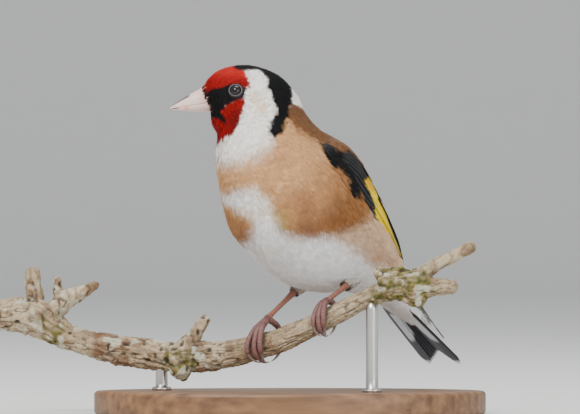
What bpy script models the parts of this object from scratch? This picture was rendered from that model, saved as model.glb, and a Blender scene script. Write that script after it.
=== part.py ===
"""A life-size European goldfinch gripping a short cut branch over a plain oval stand."""

import math
import random

import bmesh
import bpy
import numpy as np
from mathutils import Vector

# Lengths below are in millimetres and angles in degrees unless a line says otherwise.
MM = 0.001
GAP = 0.3
# In metres: edges this short are taken out, points this near touch, and triangles are this high.
MERGE_DISTANCES = (0.000001, 0.000003, 0.000008)
TOUCH_DISTANCE = 0.0000002
SLIVER_HEIGHT = 0.0000005
FLAT_ANGLES = (1.2, 0.9, 0.6, 0.4, 0.2, 0.05)

# The photograph's scale and middle column set where things stand beside each other.
PIXELS_PER_MM = 3.4
MIDDLE_COLUMN = 290.0
BASE_TOP_ROW = 392.0

# Display stand: an oval base and two rods up to the branch.
BASE_HALF_LENGTH = 58.0
BASE_HALF_WIDTH = 40.0
BASE_THICKNESS = 7.0
BASE_BEVEL = 1.2
BASE_SIDES = 36
ROD_RADIUS = 1.8
ROD_COLUMNS = (160.0, 372.0)

# The upright line that the head and the body turn about, and the body's turn.
NECK_AXIS = (-7.0, -17.0)
BODY_TURN = 46.0

# The bird from its undertail coverts to the root of its bill. Each station is a flat ring:
# the back's point (forward, height), the belly's point (forward, height), the half width,
# how much narrower the ring gets towards the back, and its turn towards the viewer.
STATIONS = {
    "covert_tip": ((-61.9, 31.4), (-57.2, 28.7), 5.5, 0.00, 45),
    "undertail": ((-57.8, 38.5), (-47.6, 33.4), 7.6, 0.00, 46),
    "vent": ((-54.1, 45.8), (-35.4, 36.2), 11.2, 0.02, 46),
    "hip": ((-49.8, 53.1), (-23.1, 36.0), 15.4, 0.04, 46),
    "belly": ((-44.5, 61.2), (-12.4, 38.5), 17.8, 0.05, 46),
    "waist": ((-38.9, 68.9), (-2.5, 44.6), 19.1, 0.06, 46),
    "breast": ((-32.8, 76.3), (5.6, 51.6), 20.3, 0.08, 46),
    "shoulder": ((-25.1, 81.5), (10.4, 60.4), 18.6, 0.08, 42),
    "neck_root": ((-16.7, 84.7), (14.0, 70.1), 16.0, 0.06, 35),
    "neck": ((-11.9, 88.9), (15.1, 77.1), 13.3, 0.04, 21),
    "nape": ((-9.2, 94.2), (14.3, 81.7), 11.3, 0.04, 9),
    "crown_back": ((-3.8, 100.1), (14.9, 83.6), 10.2, 0.05, 2),
    "crown": ((3.9, 103.0), (15.8, 85.0), 9.5, 0.07, 0),
    "brow": ((10.5, 102.8), (16.2, 86.3), 8.0, 0.08, 0),
    "face": ((15.5, 100.7), (16.3, 87.8), 5.8, 0.06, 0),
    "bill_root": ((18.8, 96.6), (16.2, 89.1), 3.4, 0.00, 0),
}
RING_SIDES = 28
TAIL_START = 1.45
NECK_START = 8.15
HEAD_START = 10.25
SEAM = 0.02
TORSO_RINGS = 17

# Folded wing on the body's surface: station, lower edge and upper edge (degrees from the back).
WING_ROWS = (
    (7.75, 68.0, 44.0),
    (7.2, 76.0, 28.0),
    (6.2, 84.0, 22.0),
    (5.0, 83.0, 18.0),
    (3.8, 80.0, 15.0),
    (2.6, 80.0, 12.0),
    (1.7, 76.0, 14.0),
)
# The wing's last stretch beyond the body: (forward, left, height) of lower edge, middle, upper edge.
WING_TIP_ROWS = (
    ((-59.5, 8.2, 31.0), (-61.2, 7.0, 32.0), (-62.2, 4.8, 32.6)),
    ((-69.4, 7.7, 23.2), (-70.4, 6.9, 22.9), (-70.2, 5.6, 23.6)),
)
WING_DEPTH = 2.2
WING_TIP_DEPTH = 1.3
WING_ROOM = 1.3
WING_STEPS_ALONG = 17
WING_STEPS_ACROSS = 5

# One feather: its thickness, the places of its cross-sections from root to tip, and its width
# as a share of its widest at the root, how far from the tip it rounds off, and at the tip.
VANE_THICKNESS = 0.5
SECTION_PLACES = {4: (0.0, 0.4, 0.87, 1.0), 6: (0.0, 0.3, 0.6, 0.84, 0.96, 1.0)}
VANE_ROOT_SHARE = 0.62
VANE_TIP_LENGTH = 0.14
VANE_TIP_SHARE = 0.12

# The thin base that a wing's feathers are rooted in: its depth, and where along the wing it ends.
SHIELD_TOP = 0.85
SHIELD_END = 5.3
WING_SEED = 50
TAIL_SEED = 5

# Wing feathers by tier. Roots and tips run from the lower edge's feather to the back's feather:
# (along, across) on the folded wing, then half width, depth of the root and of the tip,
# how much the lower edge is raised, and the number of cross-sections.
WING_TIERS = {
    "primary": (6, (2.4, 0.1), (2.6, 0.34), (7.95, 0.45), (5.9, 0.5), 1.9, (1.35, 0.55), 0.10, 6),
    "secondary": (4, (2.5, 0.42), (2.6, 0.64), (5.8, 0.5), (5.5, 0.78), 2.5, (0.6, 0.45), 0.22, 6),
    "tertial": (3, (2.7, 0.7), (3.0, 0.86), (5.3, 0.74), (4.3, 0.85), 2.6, (0.4, 0.2), 0.24, 6),
    "primary_covert": (3, (1.4, 0.06), (1.5, 0.2), (3.5, 0.08), (3.2, 0.24), 1.7, (0.55, 0.3), 0.18, 4),
    "greater_covert": (5, (1.6, 0.25), (1.7, 0.88), (3.2, 0.28), (3.3, 0.86), 2.8, (0.35, 0.12), 0.24, 4),
    "alula": (2, (0.6, 0.16), (0.7, 0.22), (2.3, 0.1), (1.9, 0.16), 1.6, (0.4, 0.1), 0.12, 4),
    "median_covert": (4, (1.0, 0.2), (1.0, 0.84), (2.1, 0.22), (2.15, 0.84), 3.0, (0.2, -0.02), 0.24, 4),
    "lesser_covert": (3, (0.45, 0.3), (0.45, 0.64), (1.35, 0.22), (1.4, 0.76), 2.7, (0.05, -0.15), 0.22, 4),
}

# Tail: root and tip of its middle line (forward, height), and its form.
TAIL_ROOT = (-50.5, 36.2)
TAIL_TIP = (-77.8, 15.1)
TAIL_PAIRS = 6
TAIL_SPREAD_ROOT = (0.4, 0.5)
TAIL_SPREAD_TIP = (1.0, 1.05)
TAIL_HALF_WIDTH = 1.85
TAIL_FORK = 3.8
TAIL_STACK = 0.3
TAIL_RAISED_EDGE = 0.1

# Bill, in the head's own directions (forward, height).
BILL_TIP = (28.7, 90.2)
BILL_ROOT_TOP = (19.1, 96.4)
BILL_ROOT_BOTTOM = (16.7, 89.3)
BILL_HALF_WIDTH = 3.1
BILL_SPLIT = 0.36
# Nostrils: shares of the bill's length, of the upper half's height and of its half width.
NOSTRIL_ALONG = 0.14
NOSTRIL_RISE = 0.62
NOSTRIL_OUT = 0.74
NOSTRIL_RADIUS = 0.42

# Eye: place on the head's surface, the ball's radius, how deep its centre sits, and its lids.
EYE_PLACE = 12.03
EYE_AROUND = 80.0
EYE_RADIUS = 1.95
EYE_DEPTH = 1.15
LID_RADIUS = 1.85
LID_THICKNESS = 0.32

# Branch: column and row of its middle line in the photograph, and its radius.
BRANCH_LINE = (
    (-6, 317, 4.9),
    (14, 317, 5.4),
    (30, 319, 6.1),
    (46, 328, 5.0),
    (62, 339, 4.1),
    (90, 346, 3.9),
    (112, 351, 4.6),
    (140, 355, 4.4),
    (170, 358, 4.5),
    (200, 358, 4.6),
    (230, 355, 4.1),
    (252, 349, 3.9),
    (277, 342, 3.7),
    (300, 332, 3.5),
    (326, 319.5, 3.2),
    (352, 305.5, 3.0),
    (378, 293, 2.9),
    (394, 286, 4.6),
    (412, 285, 4.4),
    (429, 287, 2.9),
    (443, 286.5, 2.5),
    (453, 286.0, 2.1),
)
BRANCH_YAW = 24.0
BRANCH_FOOT = (-6.5, -6.8)
BRANCH_SIDES = 12
BRANCH_RINGS = 32
BRANCH_ROUGHNESS = 0.02

# Broken twigs of the branch: columns, rows, depth in front of its middle (negative) and radii.
TWIGS = {
    "upright": ((30, 313, -1.0, 3.6), (30, 296, -2.0, 2.9), (29, 284, -2.4, 2.6), (30, 271, -2.6, 2.3)),
    "scar": ((31, 314, -2.0, 4.2), (32, 310, -5.6, 3.4)),
    "side": ((44, 318, 0.0, 3.6), (60, 303, -1.0, 2.9), (77, 295, -1.6, 2.2), (94, 286.5, -2.0, 1.3)),
    "nub": ((60, 302, -1.0, 1.9), (54, 291, -1.6, 1.6), (54, 279, -1.8, 1.3)),
    "stub": ((184, 350, 0.0, 3.2), (192, 338, -0.5, 2.6), (199, 328, -0.8, 1.95), (204, 318.5, -1.0, 1.8)),
    "knot": ((178, 360, -1.5, 3.8), (181, 373, -2.2, 3.1), (183, 379, -2.2, 1.8)),
    "fork": ((404, 288, 0.5, 3.4), (424, 272, 0.5, 2.5), (445, 260, 0.5, 2.15), (471, 246.5, 0.5, 1.9)),
    "fork_nub": ((455, 254, 0.5, 1.5), (452, 249, -0.4, 0.9)),
    "moss_left": ((388, 283, -1.5, 3.4), (378, 271, -2.0, 2.2)),
    "moss_top": ((397, 280, 0.5, 3.6), (398, 269, 0.5, 2.6)),
    "moss_under": ((410, 290, -1.0, 4.0), (419, 301, -1.2, 2.4)),
    "burr": ((112, 354, -1.2, 4.4), (116, 363, -1.5, 2.9)),
}

# Legs: column and row of each joint in the photograph, with its depth from the stand's middle.
# The knuckle, where the toes part, stands over the branch.
LEGS = {
    "right": {"thigh": (306, 279, 6.0), "heel": (294.5, 292.5, 1.5), "knuckle": (267.5, 318.5)},
    "left": {"thigh": (356, 273, -3.5), "heel": (345.5, 286.5, -10.2), "knuckle": (327.0, 301.0)},
}
KNUCKLE_BEHIND = 0.4
THIGH_RADIUS = 3.6
HEEL_RADIUS = 1.15
TARSUS_RADIUS = 0.78
KNUCKLE_RADIUS = 1.0
TOE_RADIUS = 0.88
TOE_TAPER = 0.015
TOE_WAIST = 0.1
TOE_END_RADIUS = 0.7
TOE_CLEAR = 0.5
CLAW_RADIUS = 0.5
# Each toe: turn from the foot's forward line, start and end angle round the branch, claw's end angle.
TOES = (
    (-17.0, 12.0, 112.0, 158.0),
    (2.0, 10.0, 138.0, 190.0),
    (21.0, 12.0, 118.0, 166.0),
    (182.0, 16.0, 104.0, 168.0),
)
FOOT_TURN = {"right": 42.0, "left": 54.0}

COLOURS = {
    "red": (0.42, 0.022, 0.018),
    "brown": (0.30, 0.17, 0.09),
    "belly": (0.66, 0.64, 0.60),
    "black": (0.012, 0.012, 0.014),
    "tail": (0.045, 0.043, 0.055),
    "bill": (0.72, 0.58, 0.54),
    "eye": (0.01, 0.006, 0.005),
    "leg": (0.34, 0.16, 0.15),
    "claw": (0.16, 0.10, 0.09),
    "bark": (0.42, 0.35, 0.25),
    "wood": (0.30, 0.18, 0.10),
    "metal": (0.55, 0.53, 0.50),
}


def picture_point(column, row):
    """World x and z of a pixel of the photograph, in millimetres."""
    return (column - MIDDLE_COLUMN) / PIXELS_PER_MM, BASE_THICKNESS + (BASE_TOP_ROW - row) / PIXELS_PER_MM


def unit(vector):
    return vector / np.linalg.norm(vector)


def between(rows, place):
    """A smooth curve through the rows, read at a place counted in rows."""
    last = len(rows) - 1
    place = min(max(place, 0.0), float(last))
    i = min(int(place), last - 1)
    t = place - i
    a = rows[i]
    b = rows[i + 1]
    before = rows[i - 1] if i > 0 else 2 * a - b
    after = rows[i + 2] if i + 2 <= last else 2 * b - a
    straight = 2 * a + (b - before) * t
    bend = (2 * before - 5 * a + 4 * b - after) * t**2
    twist = (3 * a - before - 3 * b + after) * t**3
    return 0.5 * (straight + bend + twist)


def turned(forward, left, height, turn=BODY_TURN):
    """World point of one given in the bird's own directions."""
    angle = math.radians(turn)
    x = NECK_AXIS[0] - forward * math.cos(angle) + left * math.sin(angle)
    y = NECK_AXIS[1] - forward * math.sin(angle) - left * math.cos(angle)
    return np.array([x, y, height])


STATION_ROWS = np.array(
    [[*back, *belly, half, taper, turn] for back, belly, half, taper, turn in STATIONS.values()]
)


def skin_point(place, around, grow=0.0):
    """A point of the bird's outline: around is 0 on the back's middle line, 90 on its left side."""
    back_f, back_z, belly_f, belly_z, half, taper, turn = between(STATION_ROWS, place)
    up = math.cos(math.radians(around))
    side = math.sin(math.radians(around))
    forward = (back_f + belly_f) / 2 + up * (back_f - belly_f) / 2
    height = (back_z + belly_z) / 2 + up * (back_z - belly_z) / 2
    point = turned(forward, half * side * (1 - taper * up), height, turn)
    if grow:
        point = point + grow * skin_normal(place, around)
    return point


def skin_normal(place, around):
    along = skin_point(place + 0.02, around) - skin_point(place - 0.02, around)
    across = skin_point(place, around + 1.0) - skin_point(place, around - 1.0)
    return unit(np.cross(along, across))


def material(name, colour, roughness=0.7, metallic=0.0):
    paint = bpy.data.materials.new(name)
    paint.use_nodes = True
    shader = paint.node_tree.nodes["Principled BSDF"]
    shader.inputs["Base Color"].default_value = (*colour, 1.0)
    shader.inputs["Roughness"].default_value = roughness
    shader.inputs["Metallic"].default_value = metallic
    return paint


def solid(name, vertices, faces, centre=(0.0, 0.0, 0.0)):
    """An object from points in millimetres, with its origin at the centre given."""
    centre = np.array(centre, dtype=float)
    mesh = bpy.data.meshes.new(name)
    mesh.from_pydata([tuple((np.array(v) - centre) * MM) for v in vertices], [], faces)
    bm = bmesh.new()
    bm.from_mesh(mesh)
    bmesh.ops.triangulate(bm, faces=[face for face in bm.faces if len(face.verts) > 4])
    bmesh.ops.recalc_face_normals(bm, faces=bm.faces)
    bm.to_mesh(mesh)
    bm.free()
    item = bpy.data.objects.new(name, mesh)
    item.location = Vector(centre * MM)
    bpy.context.scene.collection.objects.link(item)
    return item


def loft(name, rings, centre=(0.0, 0.0, 0.0)):
    """A closed skin over rings of equal size, with a point in the middle of each end."""
    sides = len(rings[0])
    vertices = [point for ring in rings for point in ring]
    faces = []
    for i in range(len(rings) - 1):
        for j in range(sides):
            a = i * sides + j
            b = i * sides + (j + 1) % sides
            faces.append((a, b, b + sides))
            faces.append((a, b + sides, a + sides))
    for ring_index in (0, len(rings) - 1):
        middle = len(vertices)
        vertices.append(np.mean(rings[ring_index], axis=0))
        start = ring_index * sides
        faces += [(start + j, start + (j + 1) % sides, middle) for j in range(sides)]
    return solid(name, vertices, faces, centre)


def tube_rings(path, radii, sides, roughness=0.0, seed=0):
    """Rings along a path, turned as little as possible from one to the next."""
    draw = random.Random(seed)
    phases = [draw.uniform(0, math.tau) for _ in range(6)]
    path = [np.array(point, dtype=float) for point in path]
    direction = unit(path[1] - path[0])
    side = unit(np.cross(direction, (0.0, 0.3, 1.0)))
    rings = []
    for i, point in enumerate(path):
        ahead = path[min(i + 1, len(path) - 1)]
        behind = path[max(i - 1, 0)]
        direction = unit(ahead - behind)
        side = unit(side - direction * side.dot(direction))
        up = np.cross(direction, side)
        ring = []
        for j in range(sides):
            angle = math.tau * j / sides
            waves = math.sin(2 * angle + 0.9 * i + phases[0]) + math.sin(3 * angle - 0.6 * i + phases[1])
            waves += math.sin(angle + 0.5 * i + phases[2])
            radius = radii[i] * (1 + roughness * waves)
            ring.append(point + radius * (math.cos(angle) * side + math.sin(angle) * up))
        rings.append(ring)
    return rings


def smooth_path(points, steps):
    """Evenly counted points, with their radii, on a smooth curve through the points given."""
    rows = np.array(points, dtype=float)
    places = np.linspace(0, len(rows) - 1, steps)
    line = np.array([between(rows, place) for place in places])
    return line[:, :3], line[:, 3]


def rounded(path, radii, factor=0.6):
    """The path with a smaller last ring, so that a tube ends in a blunt tip."""
    tip = path[-1] + unit(path[-1] - path[-2]) * radii[-1] * 0.45
    return np.vstack([path, tip]), np.append(radii, radii[-1] * factor)


def evaluated_mesh(item):
    graph = bpy.context.evaluated_depsgraph_get()
    graph.update()
    return bpy.data.meshes.new_from_object(item.evaluated_get(graph))


def keep_largest(item):
    """Keeps only the closed surface with the most faces."""
    bm = bmesh.new()
    bm.from_mesh(item.data)
    left = set(bm.faces)
    islands = []
    while left:
        island = {left.pop()}
        front = list(island)
        while front:
            face = front.pop()
            for edge in face.edges:
                for other in edge.link_faces:
                    if other in left:
                        left.remove(other)
                        island.add(other)
                        front.append(other)
        islands.append(island)
    islands.sort(key=lambda island: -sum(face.calc_area() for face in island))
    loose = [face for island in islands[1:] for face in island]
    if loose:
        bmesh.ops.delete(bm, geom=loose, context="FACES")
    bm.to_mesh(item.data)
    bm.free()


def combine(item, others, operation, solver="EXACT"):
    """Joins the others to the item, or cuts them out of it, and removes them."""
    tools = bpy.data.collections.new(item.name + "_tools")
    bpy.context.scene.collection.children.link(tools)
    for other in others:
        bpy.context.scene.collection.objects.unlink(other)
        tools.objects.link(other)
        other.hide_render = True
        other.display_type = "WIRE"
    modifier = item.modifiers.new("combine", "BOOLEAN")
    modifier.operation = operation
    modifier.operand_type = "COLLECTION"
    modifier.collection = tools
    modifier.solver = solver
    mesh = evaluated_mesh(item)
    item.modifiers.remove(modifier)
    item.data = mesh
    for other in others:
        bpy.data.objects.remove(other)
    bpy.data.collections.remove(tools)
    keep_largest(item)
    merge_flat(item)
    return item


def stays_closed(bm):
    """Whether the mesh is closed and touches itself nowhere, once points that coincide are one."""
    welded = bm.copy()
    bmesh.ops.remove_doubles(welded, verts=welded.verts, dist=TOUCH_DISTANCE)
    closed = all(edge.is_manifold for edge in welded.edges)
    welded.free()
    return closed


def thinnest(bm):
    """Height of the thinnest triangle over its longest side."""
    return min(2 * face.calc_area() / max(edge.calc_length() for edge in face.edges) for face in bm.faces)


def merge_flat(item):
    """Joins the coplanar scraps that a union leaves, and keeps the closed mesh with the stoutest slivers."""
    best_height = 0.0
    best = None
    for angle, distance in [(angle, distance) for distance in MERGE_DISTANCES for angle in FLAT_ANGLES]:
        bm = bmesh.new()
        bm.from_mesh(item.data)
        bmesh.ops.dissolve_degenerate(bm, edges=bm.edges, dist=distance)
        bmesh.ops.dissolve_limit(bm, angle_limit=math.radians(angle), verts=bm.verts, edges=bm.edges)
        bmesh.ops.triangulate(bm, faces=bm.faces)
        bmesh.ops.dissolve_degenerate(bm, edges=bm.edges, dist=distance)
        bmesh.ops.triangulate(bm, faces=bm.faces)
        height = thinnest(bm) if stays_closed(bm) else 0.0
        if height > best_height:
            best_height = height
            best = best or bpy.data.meshes.new(item.name + "_merged")
            bm.to_mesh(best)
        bm.free()
        if best_height > SLIVER_HEIGHT:
            break
    if best:
        best.materials.clear()
        item.data = best


def finish(item, colour, roughness=0.7, metallic=0.0, smooth=True):
    """Gives a finished node its material and shading."""
    bm = bmesh.new()
    bm.from_mesh(item.data)
    bmesh.ops.triangulate(bm, faces=bm.faces)
    bm.to_mesh(item.data)
    bm.free()
    item.data.materials.clear()
    item.data.materials.append(material(item.name, COLOURS[colour], roughness, metallic))
    for polygon in item.data.polygons:
        polygon.use_smooth = smooth
    return item


def body_loft(name, first, last, rings, grow=0.0):
    """A stretch of the bird between two stations."""
    angles = [360.0 * j / RING_SIDES for j in range(RING_SIDES)]
    places = np.linspace(first, last, rings)
    return loft(name, [[skin_point(place, angle, grow) for angle in angles] for place in places])


WING_LINES = {}
for wing_side in (1, -1):
    wing_rows = []
    for wing_place, lower_edge, upper_edge in WING_ROWS:
        edges = (lower_edge, (lower_edge + upper_edge) / 2, upper_edge)
        wing_rows.append([skin_point(wing_place, wing_side * edge) for edge in edges])
    for tip_row in WING_TIP_ROWS:
        wing_rows.append([turned(forward, wing_side * left, height) for forward, left, height in tip_row])
    WING_LINES[wing_side] = np.array(wing_rows)
WING_END = float(len(WING_ROWS) + len(WING_TIP_ROWS) - 1)
WING_ALONG = [WING_END * i / WING_STEPS_ALONG for i in range(WING_STEPS_ALONG + 1)]
WING_ACROSS = [i / WING_STEPS_ACROSS for i in range(WING_STEPS_ACROSS + 1)]


def wing_point(side, along, across, depth=0.0):
    """A point of the folded wing: along counts its rows, across runs from lower to upper edge."""
    low, middle, high = between(WING_LINES[side], along)
    over = along - min(max(along, 0.0), WING_END)
    if over:
        lines = WING_LINES[side]
        edge = along - over
        slope = between(lines, edge) - between(lines, edge - math.copysign(0.1, over))
        low, middle, high = between(lines, edge) + slope * abs(over) / 0.1
    from_low = low * (1 - across) * (1 - 2 * across)
    from_high = high * across * (2 * across - 1)
    point = from_low + middle * 4 * across * (1 - across) + from_high
    if depth:
        point = point - depth * wing_normal(side, along, across)
    return point


def wing_depth(along):
    """How far the wing reaches into the body: it thins towards its tip."""
    share = min(max(along / WING_END, 0.0), 1.0)
    return WING_DEPTH + (WING_TIP_DEPTH - WING_DEPTH) * share**2.5


def wing_normal(side, along, across):
    lengthwise = wing_point(side, along + 0.03, across) - wing_point(side, along - 0.03, across)
    crosswise = wing_point(side, along, across + 0.02) - wing_point(side, along, across - 0.02)
    return unit(np.cross(lengthwise, crosswise)) * side


def wing_plate(name, side, along_values, across_values, top, bottom):
    """A closed plate from a depth under the wing's surface to one past its inner face."""
    columns = len(across_values)
    rows = len(along_values)
    outline = []
    for along in along_values:
        upper = [wing_point(side, along, across, top) for across in across_values]
        floor = wing_depth(along) + bottom
        lower = [wing_point(side, along, across, floor) for across in reversed(across_values)]
        outline.append(upper + lower)
    vertices = [point for ring in outline for point in ring]
    size = 2 * columns
    faces = []
    for i in range(rows - 1):
        for j in range(size):
            a = i * size + j
            b = i * size + (j + 1) % size
            mirrored = j >= columns
            if mirrored:
                faces += [(a, b, a + size), (b, b + size, a + size)]
            else:
                faces += [(a, b, b + size), (a, b + size, a + size)]
    for i in (0, rows - 1):
        start = i * size
        for j in range(columns - 1):
            a, b = start + j, start + j + 1
            c, d = start + size - 2 - j, start + size - 1 - j
            faces += [(a, b, c), (a, c, d)]
    return solid(name, vertices, faces)


def wing_rooms():
    """What the folded wings take out of the body, with the gap round them."""
    along_values = [-0.08, *WING_ALONG, WING_END + 0.08]
    across_values = [-0.08, *WING_ACROSS, 1.08]
    return [wing_plate("wing_room", side, along_values, across_values, -WING_ROOM, GAP) for side in (1, -1)]


def vane(name, centres, normals, half_widths, raise_edge, thickness):
    """A thin closed feather along its centre line, with one edge raised over its neighbour."""
    last = len(centres) - 1
    vertices = []
    for i, (centre, normal, half) in enumerate(zip(centres, normals, half_widths)):
        direction = unit(centres[min(i + 1, last)] - centres[max(i - 1, 0)])
        sideways = unit(np.cross(normal, direction))
        tilt = normal * raise_edge * half / max(half_widths)
        sink = normal * thickness * (1 - 0.35 * i / last)
        left = centre - sideways * half + tilt
        right = centre + sideways * half - tilt
        vertices += [left, right, right - sink, left - sink]
    faces = []
    for i in range(last):
        a = 4 * i
        b = a + 4
        faces += [(a, a + 1, b + 1), (a, b + 1, b)]
        faces += [(a + 3, b + 2, a + 2), (a + 3, b + 3, b + 2)]
        faces += [(a + 1, a + 2, b + 2), (a + 1, b + 2, b + 1)]
        faces += [(a, b, b + 3), (a, b + 3, a + 3)]
    end = 4 * last
    faces += [(0, 3, 2), (0, 2, 1), (end, end + 1, end + 2), (end, end + 2, end + 3)]
    return solid(name, vertices, faces)


def vane_width(t):
    """A feather's half width along its length, as a share of its widest."""
    from_root = min(VANE_ROOT_SHARE + 1.1 * t, 1.0)
    round_tip = min(1.0, math.sqrt((1.0 - t) / VANE_TIP_LENGTH))
    return from_root * max(round_tip, VANE_TIP_SHARE)


def make_body():
    head = body_loft("head", HEAD_START + SEAM, 15.0, 13)
    for side in (1, -1):
        outward = skin_normal(EYE_PLACE, side * EYE_AROUND)
        surface = skin_point(EYE_PLACE, side * EYE_AROUND)
        centre = surface - EYE_DEPTH * outward
        name = "left" if side == 1 else "right"
        lid = ring_solid("lid_" + name, surface + 0.08 * outward, outward, LID_RADIUS, LID_THICKNESS)
        combine(head, [lid], "UNION")
        socket = ball("socket_" + name, centre, EYE_RADIUS + GAP, 14, 8)
        combine(head, [socket], "DIFFERENCE")
        finish(ball("eye_" + name, centre, EYE_RADIUS, 16, 9, at_origin=True), "eye", 0.05)
    finish(head, "red")
    finish(body_loft("neck", NECK_START + SEAM, HEAD_START - SEAM, 7), "brown")
    torso = body_loft("torso", TAIL_START + SEAM, NECK_START - SEAM, TORSO_RINGS)
    combine(torso, wing_rooms(), "DIFFERENCE")
    finish(torso, "belly")


def ball(name, centre, radius, around, rows, at_origin=False):
    rings = []
    for i in range(1, rows):
        polar = math.pi * i / rows
        ring = []
        for j in range(around):
            angle = math.tau * j / around
            offset = (math.sin(polar) * math.cos(angle), math.cos(polar), math.sin(polar) * math.sin(angle))
            ring.append(np.array(centre) + radius * np.array(offset))
        rings.append(ring)
    sides = around
    vertices = [point for ring in rings for point in ring]
    faces = []
    for i in range(len(rings) - 1):
        for j in range(sides):
            a = i * sides + j
            b = i * sides + (j + 1) % sides
            faces += [(a, b, b + sides), (a, b + sides, a + sides)]
    for start, sign in ((0, 1), ((len(rings) - 1) * sides, -1)):
        pole = len(vertices)
        vertices.append(np.array(centre) + radius * np.array((0.0, sign, 0.0)))
        faces += [(start + j, start + (j + 1) % sides, pole) for j in range(sides)]
    return solid(name, vertices, faces, centre if at_origin else (0.0, 0.0, 0.0))


def ring_solid(name, centre, axis, major, minor, around=16, section=5):
    """A small torus about an axis."""
    side = unit(np.cross(axis, (0.0, 0.2, 1.0)))
    up = np.cross(axis, side)
    vertices = []
    for i in range(around):
        angle = math.tau * i / around
        radial = math.cos(angle) * side + math.sin(angle) * up
        for j in range(section):
            turn = math.tau * (j + 0.5) / section
            out = radial * (major + minor * math.cos(turn))
            vertices.append(centre + out + axis * minor * math.sin(turn))
    faces = []
    for i in range(around):
        for j in range(section):
            a = i * section + j
            b = i * section + (j + 1) % section
            c = ((i + 1) % around) * section + (j + 1) % section
            d = ((i + 1) % around) * section + j
            faces += [(a, b, c), (a, c, d)]
    return solid(name, vertices, faces)


def make_bill():
    """Two half cones whose flat sides meet in the line of the mouth."""
    root_top = turned(BILL_ROOT_TOP[0], 0.0, BILL_ROOT_TOP[1], 0)
    root_bottom = turned(BILL_ROOT_BOTTOM[0], 0.0, BILL_ROOT_BOTTOM[1], 0)
    tip = turned(BILL_TIP[0], 0.0, BILL_TIP[1], 0)
    forward = np.array([-1.0, 0.0, 0.0])
    upward = unit(root_top - root_bottom)
    height = np.linalg.norm(root_top - root_bottom)
    split = root_bottom + upward * height * BILL_SPLIT
    sideways = np.array([0.0, -1.0, 0.0])
    halves = (("bill_upper", 1, 1 - BILL_SPLIT), ("bill_lower", -1, BILL_SPLIT))
    for name, sign, share in halves:
        reach = height * share
        rings = []
        length = 1.0 if sign == 1 else 0.93
        for i in range(9):
            t = i / 8 * length
            middle = split + (tip - split) * t + upward * sign * GAP / 2
            swell = (1 - t) ** 0.86 if sign == 1 else (1 - t) ** 0.8
            size = max(swell, 0.06)
            ring = []
            for j in range(9):
                angle = math.pi * j / 8
                out = math.cos(angle) * BILL_HALF_WIDTH * size
                rise = math.sin(angle) ** 0.85 * reach * size
                ring.append(middle + sideways * out + upward * sign * rise)
            rings.append(ring)
        half = loft(name, rings)
        if sign == 1:
            nostrils = []
            for side in (1, -1):
                place = split + (tip - split) * NOSTRIL_ALONG + upward * reach * NOSTRIL_RISE
                place = place + sideways * side * BILL_HALF_WIDTH * NOSTRIL_OUT
                nostrils.append(ball("nostril", place, NOSTRIL_RADIUS, 8, 6))
            combine(half, nostrils, "DIFFERENCE")
        finish(half, "bill", 0.4)


def make_tail():
    """Coverts with six pairs of tail feathers, the middle pair on top and the outer pair longest."""
    tail = body_loft("tail", 0.0, TAIL_START - SEAM, 8)
    draw = random.Random(TAIL_SEED)
    root = turned(TAIL_ROOT[0], 0.0, TAIL_ROOT[1])
    tip = turned(TAIL_TIP[0], 0.0, TAIL_TIP[1])
    axis = unit(tip - root)
    length = np.linalg.norm(tip - root)
    sideways = turned(0.0, 1.0, 0.0) - turned(0.0, 0.0, 0.0)
    normal = unit(np.cross(axis, sideways))
    vanes = []
    for pair in range(TAIL_PAIRS):
        for side in (1, -1):
            start_left = side * (TAIL_SPREAD_ROOT[0] + TAIL_SPREAD_ROOT[1] * pair)
            end_left = side * (TAIL_SPREAD_TIP[0] + TAIL_SPREAD_TIP[1] * pair)
            reach = length - TAIL_FORK * (1 - pair / (TAIL_PAIRS - 1)) + draw.uniform(-0.25, 0.25)
            height = TAIL_STACK * (TAIL_PAIRS / 2 - pair) + 0.07 * side + VANE_THICKNESS / 2
            centres = []
            widths = []
            for t in SECTION_PLACES[6]:
                shift = sideways * (start_left + (end_left - start_left) * t**0.9)
                centres.append(root + axis * reach * t + shift + normal * height)
                widths.append(TAIL_HALF_WIDTH * vane_width(t))
            normals = [normal] * len(centres)
            raised_edge = -TAIL_RAISED_EDGE * side
            name = f"rectrix_{pair}_{side}"
            vanes.append(vane(name, centres, normals, widths, raised_edge, VANE_THICKNESS))
    combine(tail, vanes, "UNION")
    combine(tail, wing_rooms(), "DIFFERENCE")
    finish(tail, "tail")


def make_wing(name, side):
    """A folded wing: a thin base with its feathers in tiers, the lowest tier first."""
    draw = random.Random(WING_SEED + side)
    base_along = [along for along in WING_ALONG if along <= SHIELD_END]
    base_across = [0.03 + 0.94 * across for across in WING_ACROSS]
    wing = wing_plate(name, side, base_along, base_across, SHIELD_TOP, 0.0)
    vanes = []
    for tier, sizes in WING_TIERS.items():
        count, root_low, root_high, tip_low, tip_high, half, depths, raised, sections = sizes
        for number in range(count):
            share = number / (count - 1)
            root = np.array(root_low) + (np.array(root_high) - np.array(root_low)) * share
            tip = np.array(tip_low) + (np.array(tip_high) - np.array(tip_low)) * share
            tip[0] += draw.uniform(-0.05, 0.05)
            root_depth = depths[0] if tier != "primary" else depths[0] - 0.55 * share
            tip_depth = depths[1] + (0.5 * (1 - share) if tier == "primary" else 0.0)
            centres = []
            normals = []
            widths = []
            for t in SECTION_PLACES[sections]:
                along, across = root + (tip - root) * t
                centres.append(wing_point(side, along, across, root_depth + (tip_depth - root_depth) * t))
                normals.append(wing_normal(side, along, across))
                widths.append(half * vane_width(t) * draw.uniform(0.97, 1.03))
            raised_edge = raised * side
            vanes.append(vane(f"{tier}_{number}", centres, normals, widths, raised_edge, VANE_THICKNESS))
    combine(wing, vanes, "UNION")
    finish(wing, "black")


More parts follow.
